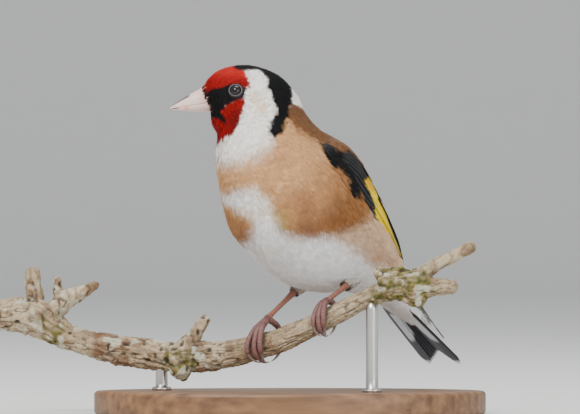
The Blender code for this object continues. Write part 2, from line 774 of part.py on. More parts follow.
def branch_depth(x):
    return BRANCH_FOOT[1] - math.tan(math.radians(BRANCH_YAW)) * (x - BRANCH_FOOT[0])


def branch_point(column, row, depth=0.0):
    x, z = picture_point(column, row)
    return np.array([x, branch_depth(x) + depth, z])


def branch_line(steps):
    rows = [[*branch_point(column, row), radius] for column, row, radius in BRANCH_LINE]
    return smooth_path(rows, steps)


def make_branch_solid(name, grow=0.0, twigs=True):
    path, radii = branch_line(BRANCH_RINGS)
    path, radii = rounded(path, radii)
    branch = loft(name, tube_rings(path, radii + grow, BRANCH_SIDES, BRANCH_ROUGHNESS, 3))
    if not twigs:
        return branch
    extras = []
    for index, (twig_name, points) in enumerate(TWIGS.items()):
        rows = [[*branch_point(column, row, depth), radius] for column, row, depth, radius in points]
        path, radii = smooth_path(rows, 2 * len(rows) - 1)
        path, radii = rounded(path, radii, 0.55)
        extras.append(loft(twig_name, tube_rings(path, radii, 8, 0.06, 20 + index)))
    return combine(branch, extras, "UNION")


def make_perch():
    finish(make_branch_solid("perch_branch"), "bark", 0.9)
    base_rings = []
    shoulder = BASE_THICKNESS - BASE_BEVEL
    profile = ((BASE_BEVEL, 0.0), (0.0, BASE_BEVEL), (0.0, shoulder), (BASE_BEVEL, BASE_THICKNESS))
    for shrink, height in profile:
        ring = []
        for j in range(BASE_SIDES):
            angle = math.tau * j / BASE_SIDES
            x = (BASE_HALF_LENGTH - shrink) * math.cos(angle)
            y = (BASE_HALF_WIDTH - shrink) * math.sin(angle)
            ring.append((x, y, height))
        base_rings.append(ring)
    finish(loft("stand_base", base_rings), "wood", 0.5)
    path, radii = branch_line(400)
    for number, column in enumerate(ROD_COLUMNS, start=1):
        x = picture_point(column, 0)[0]
        nearest = int(np.argmin(np.abs(path[:, 0] - x)))
        top = path[nearest]
        foot = np.array([top[0], top[1], BASE_THICKNESS + GAP])
        middle = (foot + top) / 2
        rod = loft(f"stand_rod_{number}", tube_rings([foot, middle, top], [ROD_RADIUS] * 3, 16), foot)
        combine(rod, [make_branch_solid("branch_room", GAP, False)], "DIFFERENCE")
        finish(rod, "metal", 0.3, 1.0)


def toe_path(centre, turn, branch_direction, reach, start, end, steps, lift):
    """Points round the branch in the upright plane of one toe."""
    angle = math.radians(turn)
    forward = np.array([-math.cos(angle), -math.sin(angle), 0.0])
    upward = np.array([0.0, 0.0, 1.0])
    points = []
    for i in range(steps):
        theta = math.radians(start + (end - start) * i / (steps - 1))
        outward = math.sin(theta) * forward + math.cos(theta) * upward
        off_axis = np.linalg.norm(outward - branch_direction * outward.dot(branch_direction))
        distance = reach / off_axis + lift * max(0.0, math.cos(theta)) ** 2
        points.append(centre + distance * outward)
    return points


def marked_point(column, row, depth):
    x, z = picture_point(column, row)
    return np.array([x, depth, z])


def make_legs():
    line, line_radii = branch_line(400)
    for side, marks in LEGS.items():
        thigh_point = marked_point(*marks["thigh"])
        heel = marked_point(*marks["heel"])
        knuckle = branch_point(*marks["knuckle"], KNUCKLE_BEHIND)
        nearest = int(np.argmin(np.abs(line[:, 0] - knuckle[0])))
        centre = line[nearest]
        radius = line_radii[nearest]
        direction = unit(line[nearest + 2] - line[nearest - 2])

        thigh_end = heel + unit(thigh_point - heel) * 0.4
        path = [thigh_point, thigh_point * 0.5 + thigh_end * 0.5, thigh_end]
        thigh = loft("thigh_" + side, tube_rings(path, [THIGH_RADIUS, 2.5, HEEL_RADIUS + 0.35], 14))
        room = body_loft("body_room", TAIL_START + SEAM, NECK_START - SEAM, TORSO_RINGS, GAP)
        combine(thigh, [room], "DIFFERENCE")
        finish(thigh, "belly")

        shank = unit(knuckle - heel)
        start = heel + shank * (GAP - 0.1)
        end = knuckle - shank * 1.3
        path = [start + (end - start) * t for t in (0.0, 0.12, 0.3, 0.6, 0.88, 1.0)]
        sizes = [HEEL_RADIUS, HEEL_RADIUS * 0.95]
        sizes += [TARSUS_RADIUS * share for share in (1.0, 0.95, 1.0, 1.1)]
        finish(loft("tarsus_" + side, tube_rings(path, sizes, 10)), "leg", 0.5)

        ankle = [knuckle - shank * 1.7, knuckle - shank * 0.5, knuckle]
        foot = loft("foot_" + side, tube_rings(ankle, [TARSUS_RADIUS * 1.1, 1.15, 1.05], 10), knuckle)
        toes = []
        for number, (turn, first, last, claw_end) in enumerate(TOES, start=1):
            reach = radius + TOE_CLEAR + TOE_RADIUS
            rise = knuckle[2] - centre[2] - reach
            turn += FOOT_TURN[side]
            bend = toe_path(centre, turn, direction, reach, first, last, 9, rise * 0.55)
            bend[0] = bend[0] * 0.35 + knuckle * 0.65
            path = [knuckle, *bend]
            pads = [TOE_RADIUS * (1 - TOE_TAPER * i - TOE_WAIST * (i % 2)) for i in range(7)]
            sizes = [KNUCKLE_RADIUS, KNUCKLE_RADIUS, *pads, TOE_END_RADIUS]
            toes.append(loft(f"toe_{number}", tube_rings(path, sizes, 8)))
            tip = toe_path(centre, turn, direction, reach, last + 4.2, claw_end, 6, 0.0)
            claw_sizes = [CLAW_RADIUS * (1 - (i / 5) ** 1.3) + 0.1 for i in range(6)]
            finish(loft(f"claw_{side}_{number}", tube_rings(tip, claw_sizes, 8), tip[0]), "claw", 0.35)
        combine(foot, toes, "UNION")
        room_path = [knuckle - shank * (1.3 - GAP), knuckle - shank * 3.0, start - shank * 0.5]
        room = loft("tarsus_room", tube_rings(room_path, [TARSUS_RADIUS * 1.5 + GAP] * 3, 12))
        combine(foot, [room], "DIFFERENCE")
        finish(foot, "leg", 0.5)


def main():
    for item in list(bpy.data.objects):
        bpy.data.objects.remove(item)
    make_body()
    make_bill()
    make_tail()
    make_wing("wing_left", 1)
    make_wing("wing_right", -1)
    make_legs()
    make_perch()


main()
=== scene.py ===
import math
import time

import bpy
import numpy as np
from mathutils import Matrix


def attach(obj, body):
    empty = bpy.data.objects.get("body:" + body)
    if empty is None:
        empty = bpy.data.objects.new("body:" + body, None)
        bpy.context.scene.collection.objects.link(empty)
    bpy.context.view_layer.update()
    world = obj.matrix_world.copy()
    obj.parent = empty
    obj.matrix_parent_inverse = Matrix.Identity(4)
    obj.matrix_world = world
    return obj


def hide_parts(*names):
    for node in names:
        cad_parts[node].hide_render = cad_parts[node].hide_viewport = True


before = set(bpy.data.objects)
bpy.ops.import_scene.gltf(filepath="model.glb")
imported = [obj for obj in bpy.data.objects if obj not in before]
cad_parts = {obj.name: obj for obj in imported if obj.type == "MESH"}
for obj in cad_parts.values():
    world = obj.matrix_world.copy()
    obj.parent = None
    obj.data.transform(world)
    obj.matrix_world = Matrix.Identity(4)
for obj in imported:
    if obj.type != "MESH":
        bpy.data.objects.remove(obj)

# A European goldfinch on a cut branch over a small oval stand.
# Lengths are in millimetres and angles in degrees; meshPiece turns them into metres.
mm = 0.001
startTime = time.time()
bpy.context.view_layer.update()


def report(words):
    print(f"[goldfinch] {time.time() - startTime:5.1f} s  {words}")


# Small tools for arrays of points

def unit(vectors):
    return vectors / np.maximum(np.linalg.norm(vectors, axis=-1, keepdims=True), 1e-9)


def dot(a, b):
    return np.sum(a * b, axis=-1, keepdims=True)


def ease(low, high, value):
    t = np.clip((value - low) / (high - low), 0, 1)
    return t * t * (3 - 2 * t)


def mixed(first, second, share):
    share = np.asarray(share)[..., None]
    return first * (1 - share) + second * share


def paint(red, green, blue):
    shown = np.array((red, green, blue)) / 255
    return ((shown + 0.055) / 1.055) ** 2.4


def curveAt(rows, places):
    # a smooth curve through the rows, read at places counted in rows, straight beyond its ends
    rows = np.asarray(rows, float)
    places = np.asarray(places, float)
    last = len(rows) - 1
    held = np.clip(places, 0, last)
    i = np.minimum(held.astype(int), last - 1)
    t = (held - i)[..., None]
    a, b = rows[i], rows[i + 1]
    before = np.where((i > 0)[..., None], rows[np.maximum(i - 1, 0)], 2 * a - b)
    after = np.where((i + 2 <= last)[..., None], rows[np.minimum(i + 2, last)], 2 * b - a)
    bend = (2 * before - 5 * a + 4 * b - after) * t**2 + (3 * a - before - 3 * b + after) * t**3
    point = 0.5 * (2 * a + (b - before) * t + bend)
    over = (places - held)[..., None]
    return point + over * np.where(over < 0, rows[1] - rows[0], rows[last] - rows[last - 1])


def distances(line):
    # how far along a line each of its points lies
    return np.concatenate([[0], np.cumsum(np.linalg.norm(np.diff(line, axis=0), axis=-1))])


def grain(points, size, seed):
    # smooth random swells between -1 and 1 on a lattice of the given size
    cells = points / size + 512.0
    base = np.floor(cells).astype(np.int64)
    t = cells - base
    t = t * t * (3 - 2 * t)
    total = np.zeros(points.shape[:-1])
    for corner in range(8):
        offset = np.array([(corner >> k) & 1 for k in range(3)])
        mixedUp = ((base + offset) * np.array([73856093, 19349663, 83492791])).sum(-1) + seed * 668265263
        mixedUp = (mixedUp ^ (mixedUp >> 13)) * 1274126177
        value = ((mixedUp ^ (mixedUp >> 16)) & 0xFFFF) / 32767.5 - 1
        total += value * np.prod(np.where(offset == 1, t, 1 - t), axis=-1)
    return total


def within(x, y, outline, soft):
    # 1 inside a closed outline and 0 outside it, with an edge as soft as given
    outline = np.array(outline, float)
    inside = np.zeros(x.shape, bool)
    nearest = np.full(x.shape, 1e9)
    for (x0, y0), (x1, y1) in zip(outline, np.roll(outline, -1, axis=0)):
        run, rise = x1 - x0, y1 - y0
        inside ^= ((y0 > y) != (y1 > y)) & (x < run * (y - y0) / (rise + 1e-12) + x0)
        t = np.clip(((x - x0) * run + (y - y0) * rise) / (run**2 + rise**2 + 1e-12), 0, 1)
        nearest = np.minimum(nearest, np.hypot(x - x0 - t * run, y - y0 - t * rise))
    return ease(-soft, soft, np.where(inside, nearest, -nearest))


# Meshes from arrays

def gridFaces(rows, columns, closed=False):
    i, j = np.meshgrid(np.arange(rows - 1), np.arange(columns if closed else columns - 1), indexing="ij")
    a = i * columns + j
    b = i * columns + (j + 1) % columns
    first = np.stack([a, b, b + columns], axis=-1).reshape(-1, 3)
    second = np.stack([a, b + columns, a + columns], axis=-1).reshape(-1, 3)
    return np.concatenate([first, second])


def closedFaces(rows, columns):
    # a grid that closes on itself, with fans over its ends; the fans' two middles follow the grid's points
    a = np.arange(columns)
    b = (a + 1) % columns
    last = (rows - 1) * columns
    middle = np.full(columns, rows * columns)
    firstFan = np.stack([b, a, middle], axis=-1)
    lastFan = np.stack([a + last, b + last, middle + 1], axis=-1)
    return np.concatenate([gridFaces(rows, columns, closed=True), firstFan, lastFan])


def joined(parts):
    # one set of arrays from many, each a dictionary of points, faces and whatever the points carry
    faces = []
    count = 0
    for part in parts:
        faces.append(part["faces"] + count)
        count += len(part["points"])
    whole = {key: np.concatenate([part[key] for part in parts]) for key in parts[0] if key != "faces"}
    whole["faces"] = np.concatenate(faces)
    return whole


def meshPiece(name, shape, finish, replaced=()):
    # shape holds points and faces, and where they are wanted colours, normals and unwraps
    points, faces = shape["points"], shape["faces"].astype(np.int32)
    mesh = bpy.data.meshes.new(name)
    mesh.vertices.add(len(points))
    mesh.vertices.foreach_set("co", (points * mm).astype(np.float32).ravel())
    mesh.loops.add(faces.size)
    mesh.loops.foreach_set("vertex_index", faces.ravel())
    mesh.polygons.add(len(faces))
    mesh.polygons.foreach_set("loop_start", np.arange(len(faces), dtype=np.int32) * 3)
    mesh.update(calc_edges=True)
    mesh.polygons.foreach_set("use_smooth", np.ones(len(faces), bool))
    if "colours" in shape:
        layer = mesh.color_attributes.new("plumage", "FLOAT_COLOR", "POINT")
        rgba = np.ones((len(points), 4), np.float32)
        rgba[:, :3] = np.clip(shape["colours"], 0, 1)
        layer.data.foreach_set("color", rgba.ravel())
    for key, layerName in (("bake", "OFBake"), ("lie", "lie")):
        if key in shape:
            layer = mesh.uv_layers.new(name=layerName)
            layer.data.foreach_set("uv", shape[key][faces.ravel()].astype(np.float32).ravel())
    if "bake" in shape:
        mesh.uv_layers.active = mesh.uv_layers["OFBake"]
        mesh.uv_layers["OFBake"].active_render = True
    mesh.validate()
    if "normals" in shape:
        mesh.normals_split_custom_set_from_vertices(unit(shape["normals"]))
    mesh.materials.append(finish)
    piece = bpy.data.objects.new(name, mesh)
    bpy.context.scene.collection.objects.link(piece)
    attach(piece, "root")
    if replaced:
        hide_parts(*replaced)
    return piece


def tube(path, radii, sides):
    # rings along a path, turned as little as possible from one to the next
    path = np.asarray(path, float)
    directions = unit(np.gradient(path, axis=0))
    side = unit(np.cross(directions[0], (0.0, 0.3, 1.0)))
    angles = 2 * np.pi * np.arange(sides) / sides
    rings = []
    for middle, radius, direction in zip(path, radii, directions):
        side = unit(side - direction * np.dot(side, direction))
        up = np.cross(direction, side)
        radial = np.cos(angles)[:, None] * side + np.sin(angles)[:, None] * up
        rings.append(middle + radial * radius)
    points = np.concatenate([*rings, [rings[0].mean(axis=0), rings[-1].mean(axis=0)]])
    return {"points": points, "faces": closedFaces(len(path), sides)}


# Finishes

def material(name, roughness, **sockets):
    finish = bpy.data.materials.new(name)
    finish.use_nodes = True
    shader = finish.node_tree.nodes["Principled BSDF"]
    shader.inputs["Roughness"].default_value = roughness
    for socket, value in sockets.items():
        shader.inputs[socket].default_value = value
    return finish, finish.node_tree.nodes, finish.node_tree.links, shader


def noise(nodes, links, scale, detail=4.0, stretch=(1.0, 1.0, 1.0)):
    where = nodes.new("ShaderNodeTexCoord")
    mapping = nodes.new("ShaderNodeMapping")
    mapping.inputs["Scale"].default_value = stretch
    texture = nodes.new("ShaderNodeTexNoise")
    texture.inputs["Scale"].default_value = scale
    texture.inputs["Detail"].default_value = detail
    links.new(where.outputs["Object"], mapping.inputs["Vector"])
    links.new(mapping.outputs["Vector"], texture.inputs["Vector"])
    return texture.outputs["Fac"]


def pointColour(nodes):
    # the colour that the points carry
    colour = nodes.new("ShaderNodeAttribute")
    colour.attribute_name = "plumage"
    return colour.outputs["Color"]


def calculated(nodes, links, operation, *values):
    # each value is a number or another node's output
    node = nodes.new("ShaderNodeMath")
    node.operation = operation
    for socket, value in zip(node.inputs, values):
        if isinstance(value, float):
            socket.default_value = value
        else:
            links.new(value, socket)
    return node.outputs["Value"]


def shadeBy(nodes, links, colour, amount, low, high):
    # brightens and darkens a colour by a texture's value
    spread = nodes.new("ShaderNodeMapRange")
    spread.inputs["To Min"].default_value = low
    spread.inputs["To Max"].default_value = high
    links.new(amount, spread.inputs["Value"])
    scale = nodes.new("ShaderNodeVectorMath")
    scale.operation = "SCALE"
    links.new(colour, scale.inputs[0])
    links.new(spread.outputs["Result"], scale.inputs["Scale"])
    return scale.outputs["Vector"]


def bumpFrom(nodes, links, shader, height, strength, distance):
    bump = nodes.new("ShaderNodeBump")
    bump.inputs["Strength"].default_value = strength
    bump.inputs["Distance"].default_value = distance * mm
    links.new(height, bump.inputs["Height"])
    links.new(bump.outputs["Normal"], shader.inputs["Normal"])


def paintedFinish(name, roughness, fine, variation, bump, **sockets):
    # the points' colour with variation and bump; fine is the size of both in millimetres
    finish, nodes, links, shader = material(name, roughness, **sockets)
    texture = noise(nodes, links, 1000 / fine)
    shaded = shadeBy(nodes, links, pointColour(nodes), texture, 1 - variation, 1 + variation)
    links.new(shaded, shader.inputs["Base Color"])
    bumpFrom(nodes, links, shader, texture, bump, fine * 0.35)
    return finish


def rampFinish(name, roughness, texture, stops, bump, **sockets):
    # two colours mixed by noise, given as scale, detail and stretch, with a bump of the same noise
    finish, nodes, links, shader = material(name, roughness, **sockets)
    amount = noise(nodes, links, *texture)
    ramp = nodes.new("ShaderNodeValToRGB")
    for element, (position, tint) in zip(ramp.color_ramp.elements, stops):
        element.position = position
        element.color = (*paint(*tint), 1)
    links.new(amount, ramp.inputs["Fac"])
    links.new(ramp.outputs["Color"], shader.inputs["Base Color"])
    bumpFrom(nodes, links, shader, amount, *bump)
    return finish


def vaneFinish(name, roughness, barbGap):
    # flight feathers: barbs run slantwise from the shaft, as bump and as a slight change of shade
    finish, nodes, links, shader = material(name, roughness)
    shader.inputs["Specular IOR Level"].default_value = 0.3
    lie = nodes.new("ShaderNodeUVMap")
    lie.uv_map = "lie"
    parts = nodes.new("ShaderNodeSeparateXYZ")
    links.new(lie.outputs["UV"], parts.inputs["Vector"])
    outward = calculated(nodes, links, "ABSOLUTE", parts.outputs["Y"])
    slant = calculated(nodes, links, "MULTIPLY_ADD", outward, -1.5, parts.outputs["X"])
    turns = calculated(nodes, links, "MULTIPLY", slant, 2 * math.pi / barbGap)
    wave = calculated(nodes, links, "SINE", turns)
    height = calculated(nodes, links, "MULTIPLY_ADD", wave, 0.5, noise(nodes, links, 1600, 5.0))
    shaded = shadeBy(nodes, links, pointColour(nodes), height, 0.78, 1.12)
    links.new(shaded, shader.inputs["Base Color"])
    bumpFrom(nodes, links, shader, height, 0.35, 0.05)
    return finish


# The bird's guide surface, as in the solids: each station is a flat ring from back to belly

bodySizes = {
    "neckAxis": (-7.0, -17.0),
    "bodyTurn": 46.0,
    # back (forward, height), belly (forward, height), half width, narrowing, turn
    "stations": (
        (-61.9, 31.4, -57.2, 28.7, 5.5, 0.00, 45),
        (-57.8, 38.5, -47.6, 33.4, 7.6, 0.00, 46),
        (-54.1, 45.8, -35.4, 36.2, 11.2, 0.02, 46),
        (-49.8, 53.1, -23.1, 36.0, 15.4, 0.04, 46),
        (-44.5, 61.2, -12.4, 38.5, 17.8, 0.05, 46),
        (-38.9, 68.9, -2.5, 44.6, 19.1, 0.06, 46),
        (-32.8, 76.3, 5.6, 51.6, 20.3, 0.08, 46),
        (-25.1, 81.5, 10.4, 60.4, 18.6, 0.08, 42),
        (-16.7, 84.7, 14.0, 70.1, 16.0, 0.06, 35),
        (-11.9, 88.9, 15.1, 77.1, 13.3, 0.04, 21),
        (-9.2, 94.2, 14.3, 81.7, 11.3, 0.04, 9),
        (-3.8, 100.1, 14.9, 83.6, 10.2, 0.05, 2),
        (3.9, 103.0, 15.8, 85.0, 9.5, 0.07, 0),
        (10.5, 102.8, 16.2, 86.3, 8.0, 0.08, 0),
        (15.5, 100.7, 16.3, 87.8, 5.8, 0.06, 0),
        (18.8, 96.6, 16.2, 89.1, 3.4, 0.00, 0),
    ),
}


def turned(forward, left, height, turn=bodySizes["bodyTurn"]):
    angle = np.radians(turn)
    x = bodySizes["neckAxis"][0] - forward * np.cos(angle) + left * np.sin(angle)
    y = bodySizes["neckAxis"][1] - forward * np.sin(angle) - left * np.cos(angle)
    return np.stack(np.broadcast_arrays(x, y, height), axis=-1).astype(float)


def bodyPoint(place, around):
    row = curveAt(bodySizes["stations"], place)
    backForward, backHeight, bellyForward, bellyHeight, half, taper, turn = np.moveaxis(row, -1, 0)
    up = np.cos(np.radians(around))
    side = np.sin(np.radians(around))
    forward = (backForward + bellyForward) / 2 + up * (backForward - bellyForward) / 2
    height = (backHeight + bellyHeight) / 2 + up * (backHeight - bellyHeight) / 2
    return turned(forward, half * side * (1 - taper * up), height, turn)


def bodyFrame(place, around):
    # the point, the outward direction, and the steps for one station and for one degree
    along = (bodyPoint(place + 0.02, around) - bodyPoint(place - 0.02, around)) / 0.04
    across = (bodyPoint(place, around + 1.0) - bodyPoint(place, around - 1.0)) / 2
    return bodyPoint(place, around), unit(np.cross(along, across)), along, across


# The folded wing's surface: rows of lower edge, middle and upper edge, from its front to its tip

wingSizes = {
    # station, lower and upper edge in degrees from the back's middle line
    "rows": (
        (7.75, 68.0, 44.0),
        (7.2, 76.0, 28.0),
        (6.2, 84.0, 22.0),
        (5.0, 83.0, 18.0),
        (3.8, 80.0, 15.0),
        (2.6, 80.0, 12.0),
        (1.7, 76.0, 14.0),
    ),
    # beyond the body: (forward, left, height) of lower edge, middle and upper edge
    "tipRows": (
        ((-59.5, 8.2, 31.0), (-61.2, 7.0, 32.0), (-62.2, 4.8, 32.6)),
        ((-69.4, 7.7, 23.2), (-70.4, 6.9, 22.9), (-70.2, 5.6, 23.6)),
    ),
    "seed": 50,
    "vaneThickness": 0.14,
    "barbGap": 0.42,
}

def wingRows(side):
    rows = []
    for place, low, high in wingSizes["rows"]:
        rows.append([bodyPoint(place, side * edge) for edge in (low, (low + high) / 2, high)])
    for tips in wingSizes["tipRows"]:
        rows.append([turned(forward, side * left, height) for forward, left, height in tips])
    return np.array(rows).reshape(len(rows), 9)


wingLines = {side: wingRows(side) for side in (1, -1)}


def wingPoint(side, along, across):
    low, middle, high = np.moveaxis(curveAt(wingLines[side], along).reshape(*np.shape(along), 3, 3), -2, 0)
    across = np.asarray(across)[..., None]
    return (low * (1 - across) * (1 - 2 * across) + middle * 4 * across * (1 - across)
            + high * across * (2 * across - 1))


def wingFrame(side, along, across, depth):
    lengthwise = wingPoint(side, along + 0.03, across) - wingPoint(side, along - 0.03, across)
    crosswise = wingPoint(side, along, across + 0.02) - wingPoint(side, along, across - 0.02)
    normal = unit(np.cross(lengthwise, crosswise)) * side
    return wingPoint(side, along, across) - np.asarray(depth)[..., None] * normal, normal


# Markings

palette = {
    "red": paint(140, 0, 2),
    "redPaintedHighlight": paint(182, 22, 6),
    "redDeep": paint(84, 0, 4),
    "black": paint(4, 4, 5),
    "blackSoft": paint(20, 18, 20),
    "white": paint(250, 246, 238),
    "cream": paint(236, 206, 166),
    "throat": paint(250, 246, 240),
    "brownLight": paint(204, 148, 94),
    "brown": paint(170, 112, 60),
    "brownDeep": paint(120, 72, 34),
    "mantle": paint(112, 80, 54),
    "belly": paint(248, 250, 253),
    "buff": paint(232, 200, 158),
    "olive": paint(196, 168, 78),
    "greyStreak": paint(158, 144, 130),
    "yellow": paint(255, 222, 0),
    "yellowDeep": paint(246, 160, 0),
    "silver": paint(198, 188, 170),
    "tailGrey": paint(58, 56, 64),
    "tailWindow": paint(228, 236, 246),
}

# Outlines on the body, in stations and in degrees from 0 to 360 round it
bodyMarks = {
    "band": ((10.6, 20), (10.6, 340), (7.7, 340), (7.8, 214), (7.9, 192), (7.98, 176), (8.0, 161),
             (7.88, 152), (7.73, 149), (7.6, 100), (7.6, 20)),
    "patchLeft": ((8.3, 40), (8.3, 149), (7.48, 147), (7.18, 150), (6.88, 153), (6.55, 154), (6.28, 146),
                  (6.08, 136), (5.95, 128), (5.9, 120), (5.6, 100), (5.4, 78), (5.4, 40)),
    "patchRight": ((8.3, 320), (8.3, 214), (7.6, 208), (7.48, 189), (7.3, 178), (7.05, 172), (6.75, 176),
                   (6.43, 184), (6.25, 194), (6.1, 212), (5.95, 228), (5.9, 240), (5.6, 260), (5.4, 282),
                   (5.4, 320)),
    "shoulder": ((8.45, 64), (7.9, 58), (7.2, 56), (6.2, 56), (6.2, 84), (7.0, 79), (7.7, 73), (8.15, 68)),
    "flank": ((6.3, 124), (5.48, 117), (4.88, 113), (4.23, 109), (3.55, 105), (2.6, 98), (1.9, 84),
              (1.9, 60), (6.5, 60)),
    "olive": ((7.23, 149), (7.05, 139), (6.85, 143), (6.6, 145), (6.62, 153), (6.9, 155)),
}
# Outlines on the head seen from its side: forward of the neck's axis, and height
headMarks = {
    "redTop": ((18.9, 96.6), (17.8, 98.6), (16.0, 101.0), (14.0, 102.6), (12.6, 104.0), (10.6, 103.6),
               (8.4, 102.4), (6.7, 101.0), (5.9, 99.5), (5.2, 97.9), (4.9, 96.4), (5.7, 96.5), (7.3, 97.2),
               (8.6, 97.2), (10.8, 97.2), (13.1, 96.7), (14.9, 96.3), (17.0, 95.8)),
    "redLow": ((13.9, 89.0), (12.3, 91.3), (9.8, 92.3), (7.7, 92.9), (6.5, 93.3), (6.7, 91.7), (7.7, 89.6),
               (8.1, 87.5), (8.6, 86.1), (9.6, 84.6), (10.2, 83.6), (11.9, 82.4), (14.6, 81.2), (16.0, 83.0),
               (17.2, 85.3), (18.0, 87.7), (17.8, 88.4), (14.8, 88.0)),
    "chin": ((18.0, 89.3), (14.1, 89.4), (12.6, 87.4), (12.3, 85.8), (14.6, 87.4), (17.6, 88.2)),
    "lore": ((18.8, 96.9), (17.0, 95.8), (14.9, 96.3), (13.1, 96.7), (10.8, 97.2), (8.6, 97.2), (7.3, 97.2),
             (5.9, 96.2), (6.3, 95.4), (6.5, 93.9), (7.7, 93.0), (10.0, 92.4), (12.5, 91.3), (13.3, 89.6),
             (14.5, 88.9), (16.2, 89.0), (16.6, 91.0), (18.2, 94.4)),
    "crown": ((13.6, 104.4), (7.7, 105.4), (4.4, 105.6), (0.3, 104.4), (-2.9, 102.6), (-5.2, 100.2),
              (-6.9, 97.6), (-7.5, 94.6), (-7.1, 92.9), (-6.7, 91.3), (-6.3, 89.2), (-5.7, 86.9),
              (-4.2, 84.6), (-2.6, 83.2), (-0.9, 82.4), (-0.1, 84.4), (-1.2, 86.3), (-1.1, 87.5),
              (-2.8, 89.6), (-2.8, 90.9), (-2.0, 92.5), (-1.6, 93.9), (-0.7, 95.8), (0.3, 96.8),
              (0.1, 98.5), (0.3, 99.7), (1.7, 101.2), (2.4, 101.7), (4.6, 102.0), (6.5, 101.6),
              (7.7, 101.6), (9.4, 102.2), (10.6, 102.8), (12.6, 103.4)),
    "cheekBuff": ((3.4, 96.0), (0.6, 93.0), (-0.6, 90.0), (1.4, 88.6), (4.6, 91.6), (5.0, 94.6)),
    "napeSpot": ((-5.0, 101.4), (-8.6, 99.0), (-9.8, 94.0), (-9.4, 91.6), (-7.4, 92.4), (-7.2, 95.0),
                 (-5.9, 98.4)),
}
# Outlines on the folded wing: rows from its front, and share of the way from lower to upper edge
wingMarks = {
    "yellow": ((2.30, 0.40), (2.45, 0.60), (2.70, 1.05), (3.10, 1.05), (3.20, 0.72), (3.60, 0.70),
               (3.85, 0.50), (4.30, 0.42), (4.95, 0.41), (5.0, 0.17), (4.1, 0.12), (3.4, 0.23), (2.75, 0.36)),
    "orange": ((2.25, 0.38), (2.45, 0.62), (2.75, 0.60), (2.75, 0.40)),
}


def onBody(place, turn, name, soft):
    stationStep, degreeStep = 8.0, 0.3        # about how many millimetres each is worth
    outline = [(station * stationStep, degrees * degreeStep) for station, degrees in bodyMarks[name]]
    return within(place * stationStep, turn * degreeStep, outline, soft)


def onBoth(place, turn, name, soft):
    return np.maximum(onBody(place, turn, name, soft), onBody(place, 360 - turn, name, soft))


def folded(around):
    # degrees from the back's middle line, the same on both sides
    return np.abs(np.mod(around + 180, 360) - 180)


def plumage(place, around, points):
    # the colour of the coat at places on the body, the same for the skin and its feathers
    ragged = grain(points, 1.3, 5)
    turn = np.mod(around + 3.0 * ragged, 360)
    fold = folded(around)
    station = place + 0.07 * grain(points, 1.6, 6)
    forward = bodySizes["neckAxis"][0] - points[..., 0] + 0.22 * ragged
    height = points[..., 2] + 0.22 * grain(points, 1.3, 7)
    coarse = 0.5 + 0.5 * grain(points, 4.0, 8)

    colour = np.broadcast_to(palette["belly"], points.shape)
    colour = mixed(colour, palette["buff"], 0.4 * (1 - ease(80, 128, fold)) * ease(1.2, 3.0, place))
    clouds = ease(0.1, 0.7, grain(points, 6.0, 10))
    colour = mixed(colour, palette["cream"], 0.5 * clouds * ease(5.4, 6.4, place))
    flanks = onBoth(station, turn, "flank", 2.4)
    colour = mixed(colour, mixed(palette["buff"], palette["brown"], 0.45 + 0.5 * coarse), flanks * 0.85)
    greyish = ease(0.25, 0.6, grain(points * np.array([1, 1, 0.5]), 2.0, 9)) * flanks
    colour = mixed(colour, palette["greyStreak"], 0.45 * greyish)

    # the brown's upper edge, up behind the black band and low across the throat
    edge = np.interp(fold, (0, 15, 30, 38, 48, 64, 80, 93, 104, 118, 133, 150, 180),
                     (9.6, 9.75, 10.0, 10.25, 10.35, 10.0, 9.75, 9.5, 9.3, 9.1, 9.0, 9.0, 9.15))
    reach = 0.14 + 0.42 * ease(85, 125, fold)
    below = 1 - ease(edge - reach, edge + reach, station)
    patches = onBody(station, turn, "band", 2.2)
    for name in ("patchLeft", "patchRight"):
        patches = np.maximum(patches, onBody(station, turn, name, 2.0))
    depth = np.clip(ease(8.4, 6.4, station) * 0.75 + 0.5 * (coarse - 0.5), 0, 1)
    warm = mixed(palette["brownLight"], palette["brown"], np.clip(depth * 2, 0, 1))
    warm = mixed(warm, palette["brownDeep"], np.clip(depth * 2 - 1, 0, 1))
    colour = mixed(colour, warm, patches * 0.97)
    colour = mixed(colour, palette["olive"], 0.45 * onBody(station, turn, "olive", 1.6))

    backEdge = 64 + 4 * ragged
    back = (1 - ease(backEdge - 8, backEdge + 8, fold)) * ease(2.0, 3.0, place)
    colour = mixed(colour, mixed(palette["mantle"], palette["brownDeep"], coarse * 0.5), back)
    rump = (1 - ease(2.0, 3.0, place)) * (1 - ease(70, 90, fold))
    colour = mixed(colour, mixed(palette["belly"], palette["buff"], coarse * 0.7), rump)
    colour = mixed(colour, palette["black"], onBoth(station, turn, "shoulder", 0.5))
    face = mixed(palette["white"], palette["throat"], ease(90, 140, fold))
    colour = mixed(face, colour, below)

    onHead = ease(8.6, 9.2, place)
    marks = {name: within(forward, height, headMarks[name], 0.32) * onHead for name in headMarks}
    colour = mixed(colour, palette["cream"], 0.55 * marks["cheekBuff"])
    # the red lightens towards the top of the head as a painted highlight, and darkens lower down and further
    # back
    red = mixed(palette["red"], palette["redPaintedHighlight"], 0.8 * ease(98.0, 101.5, height))
    red = mixed(red, palette["redDeep"], (1 - ease(88, 92, height)) * ease(14, 9, forward) * 0.7)
    colour = mixed(colour, palette["white"], marks["napeSpot"])
    front = marks["redTop"] + marks["redLow"] + marks["lore"] + marks["chin"]
    colour = mixed(colour, red, np.clip(front * 1.3, 0, 1))
    dark = marks["lore"] + marks["chin"] + marks["crown"]
    return mixed(colour, palette["black"], np.clip(dark, 0, 1))


# Where the wings lie on the body, and how deep the coat is

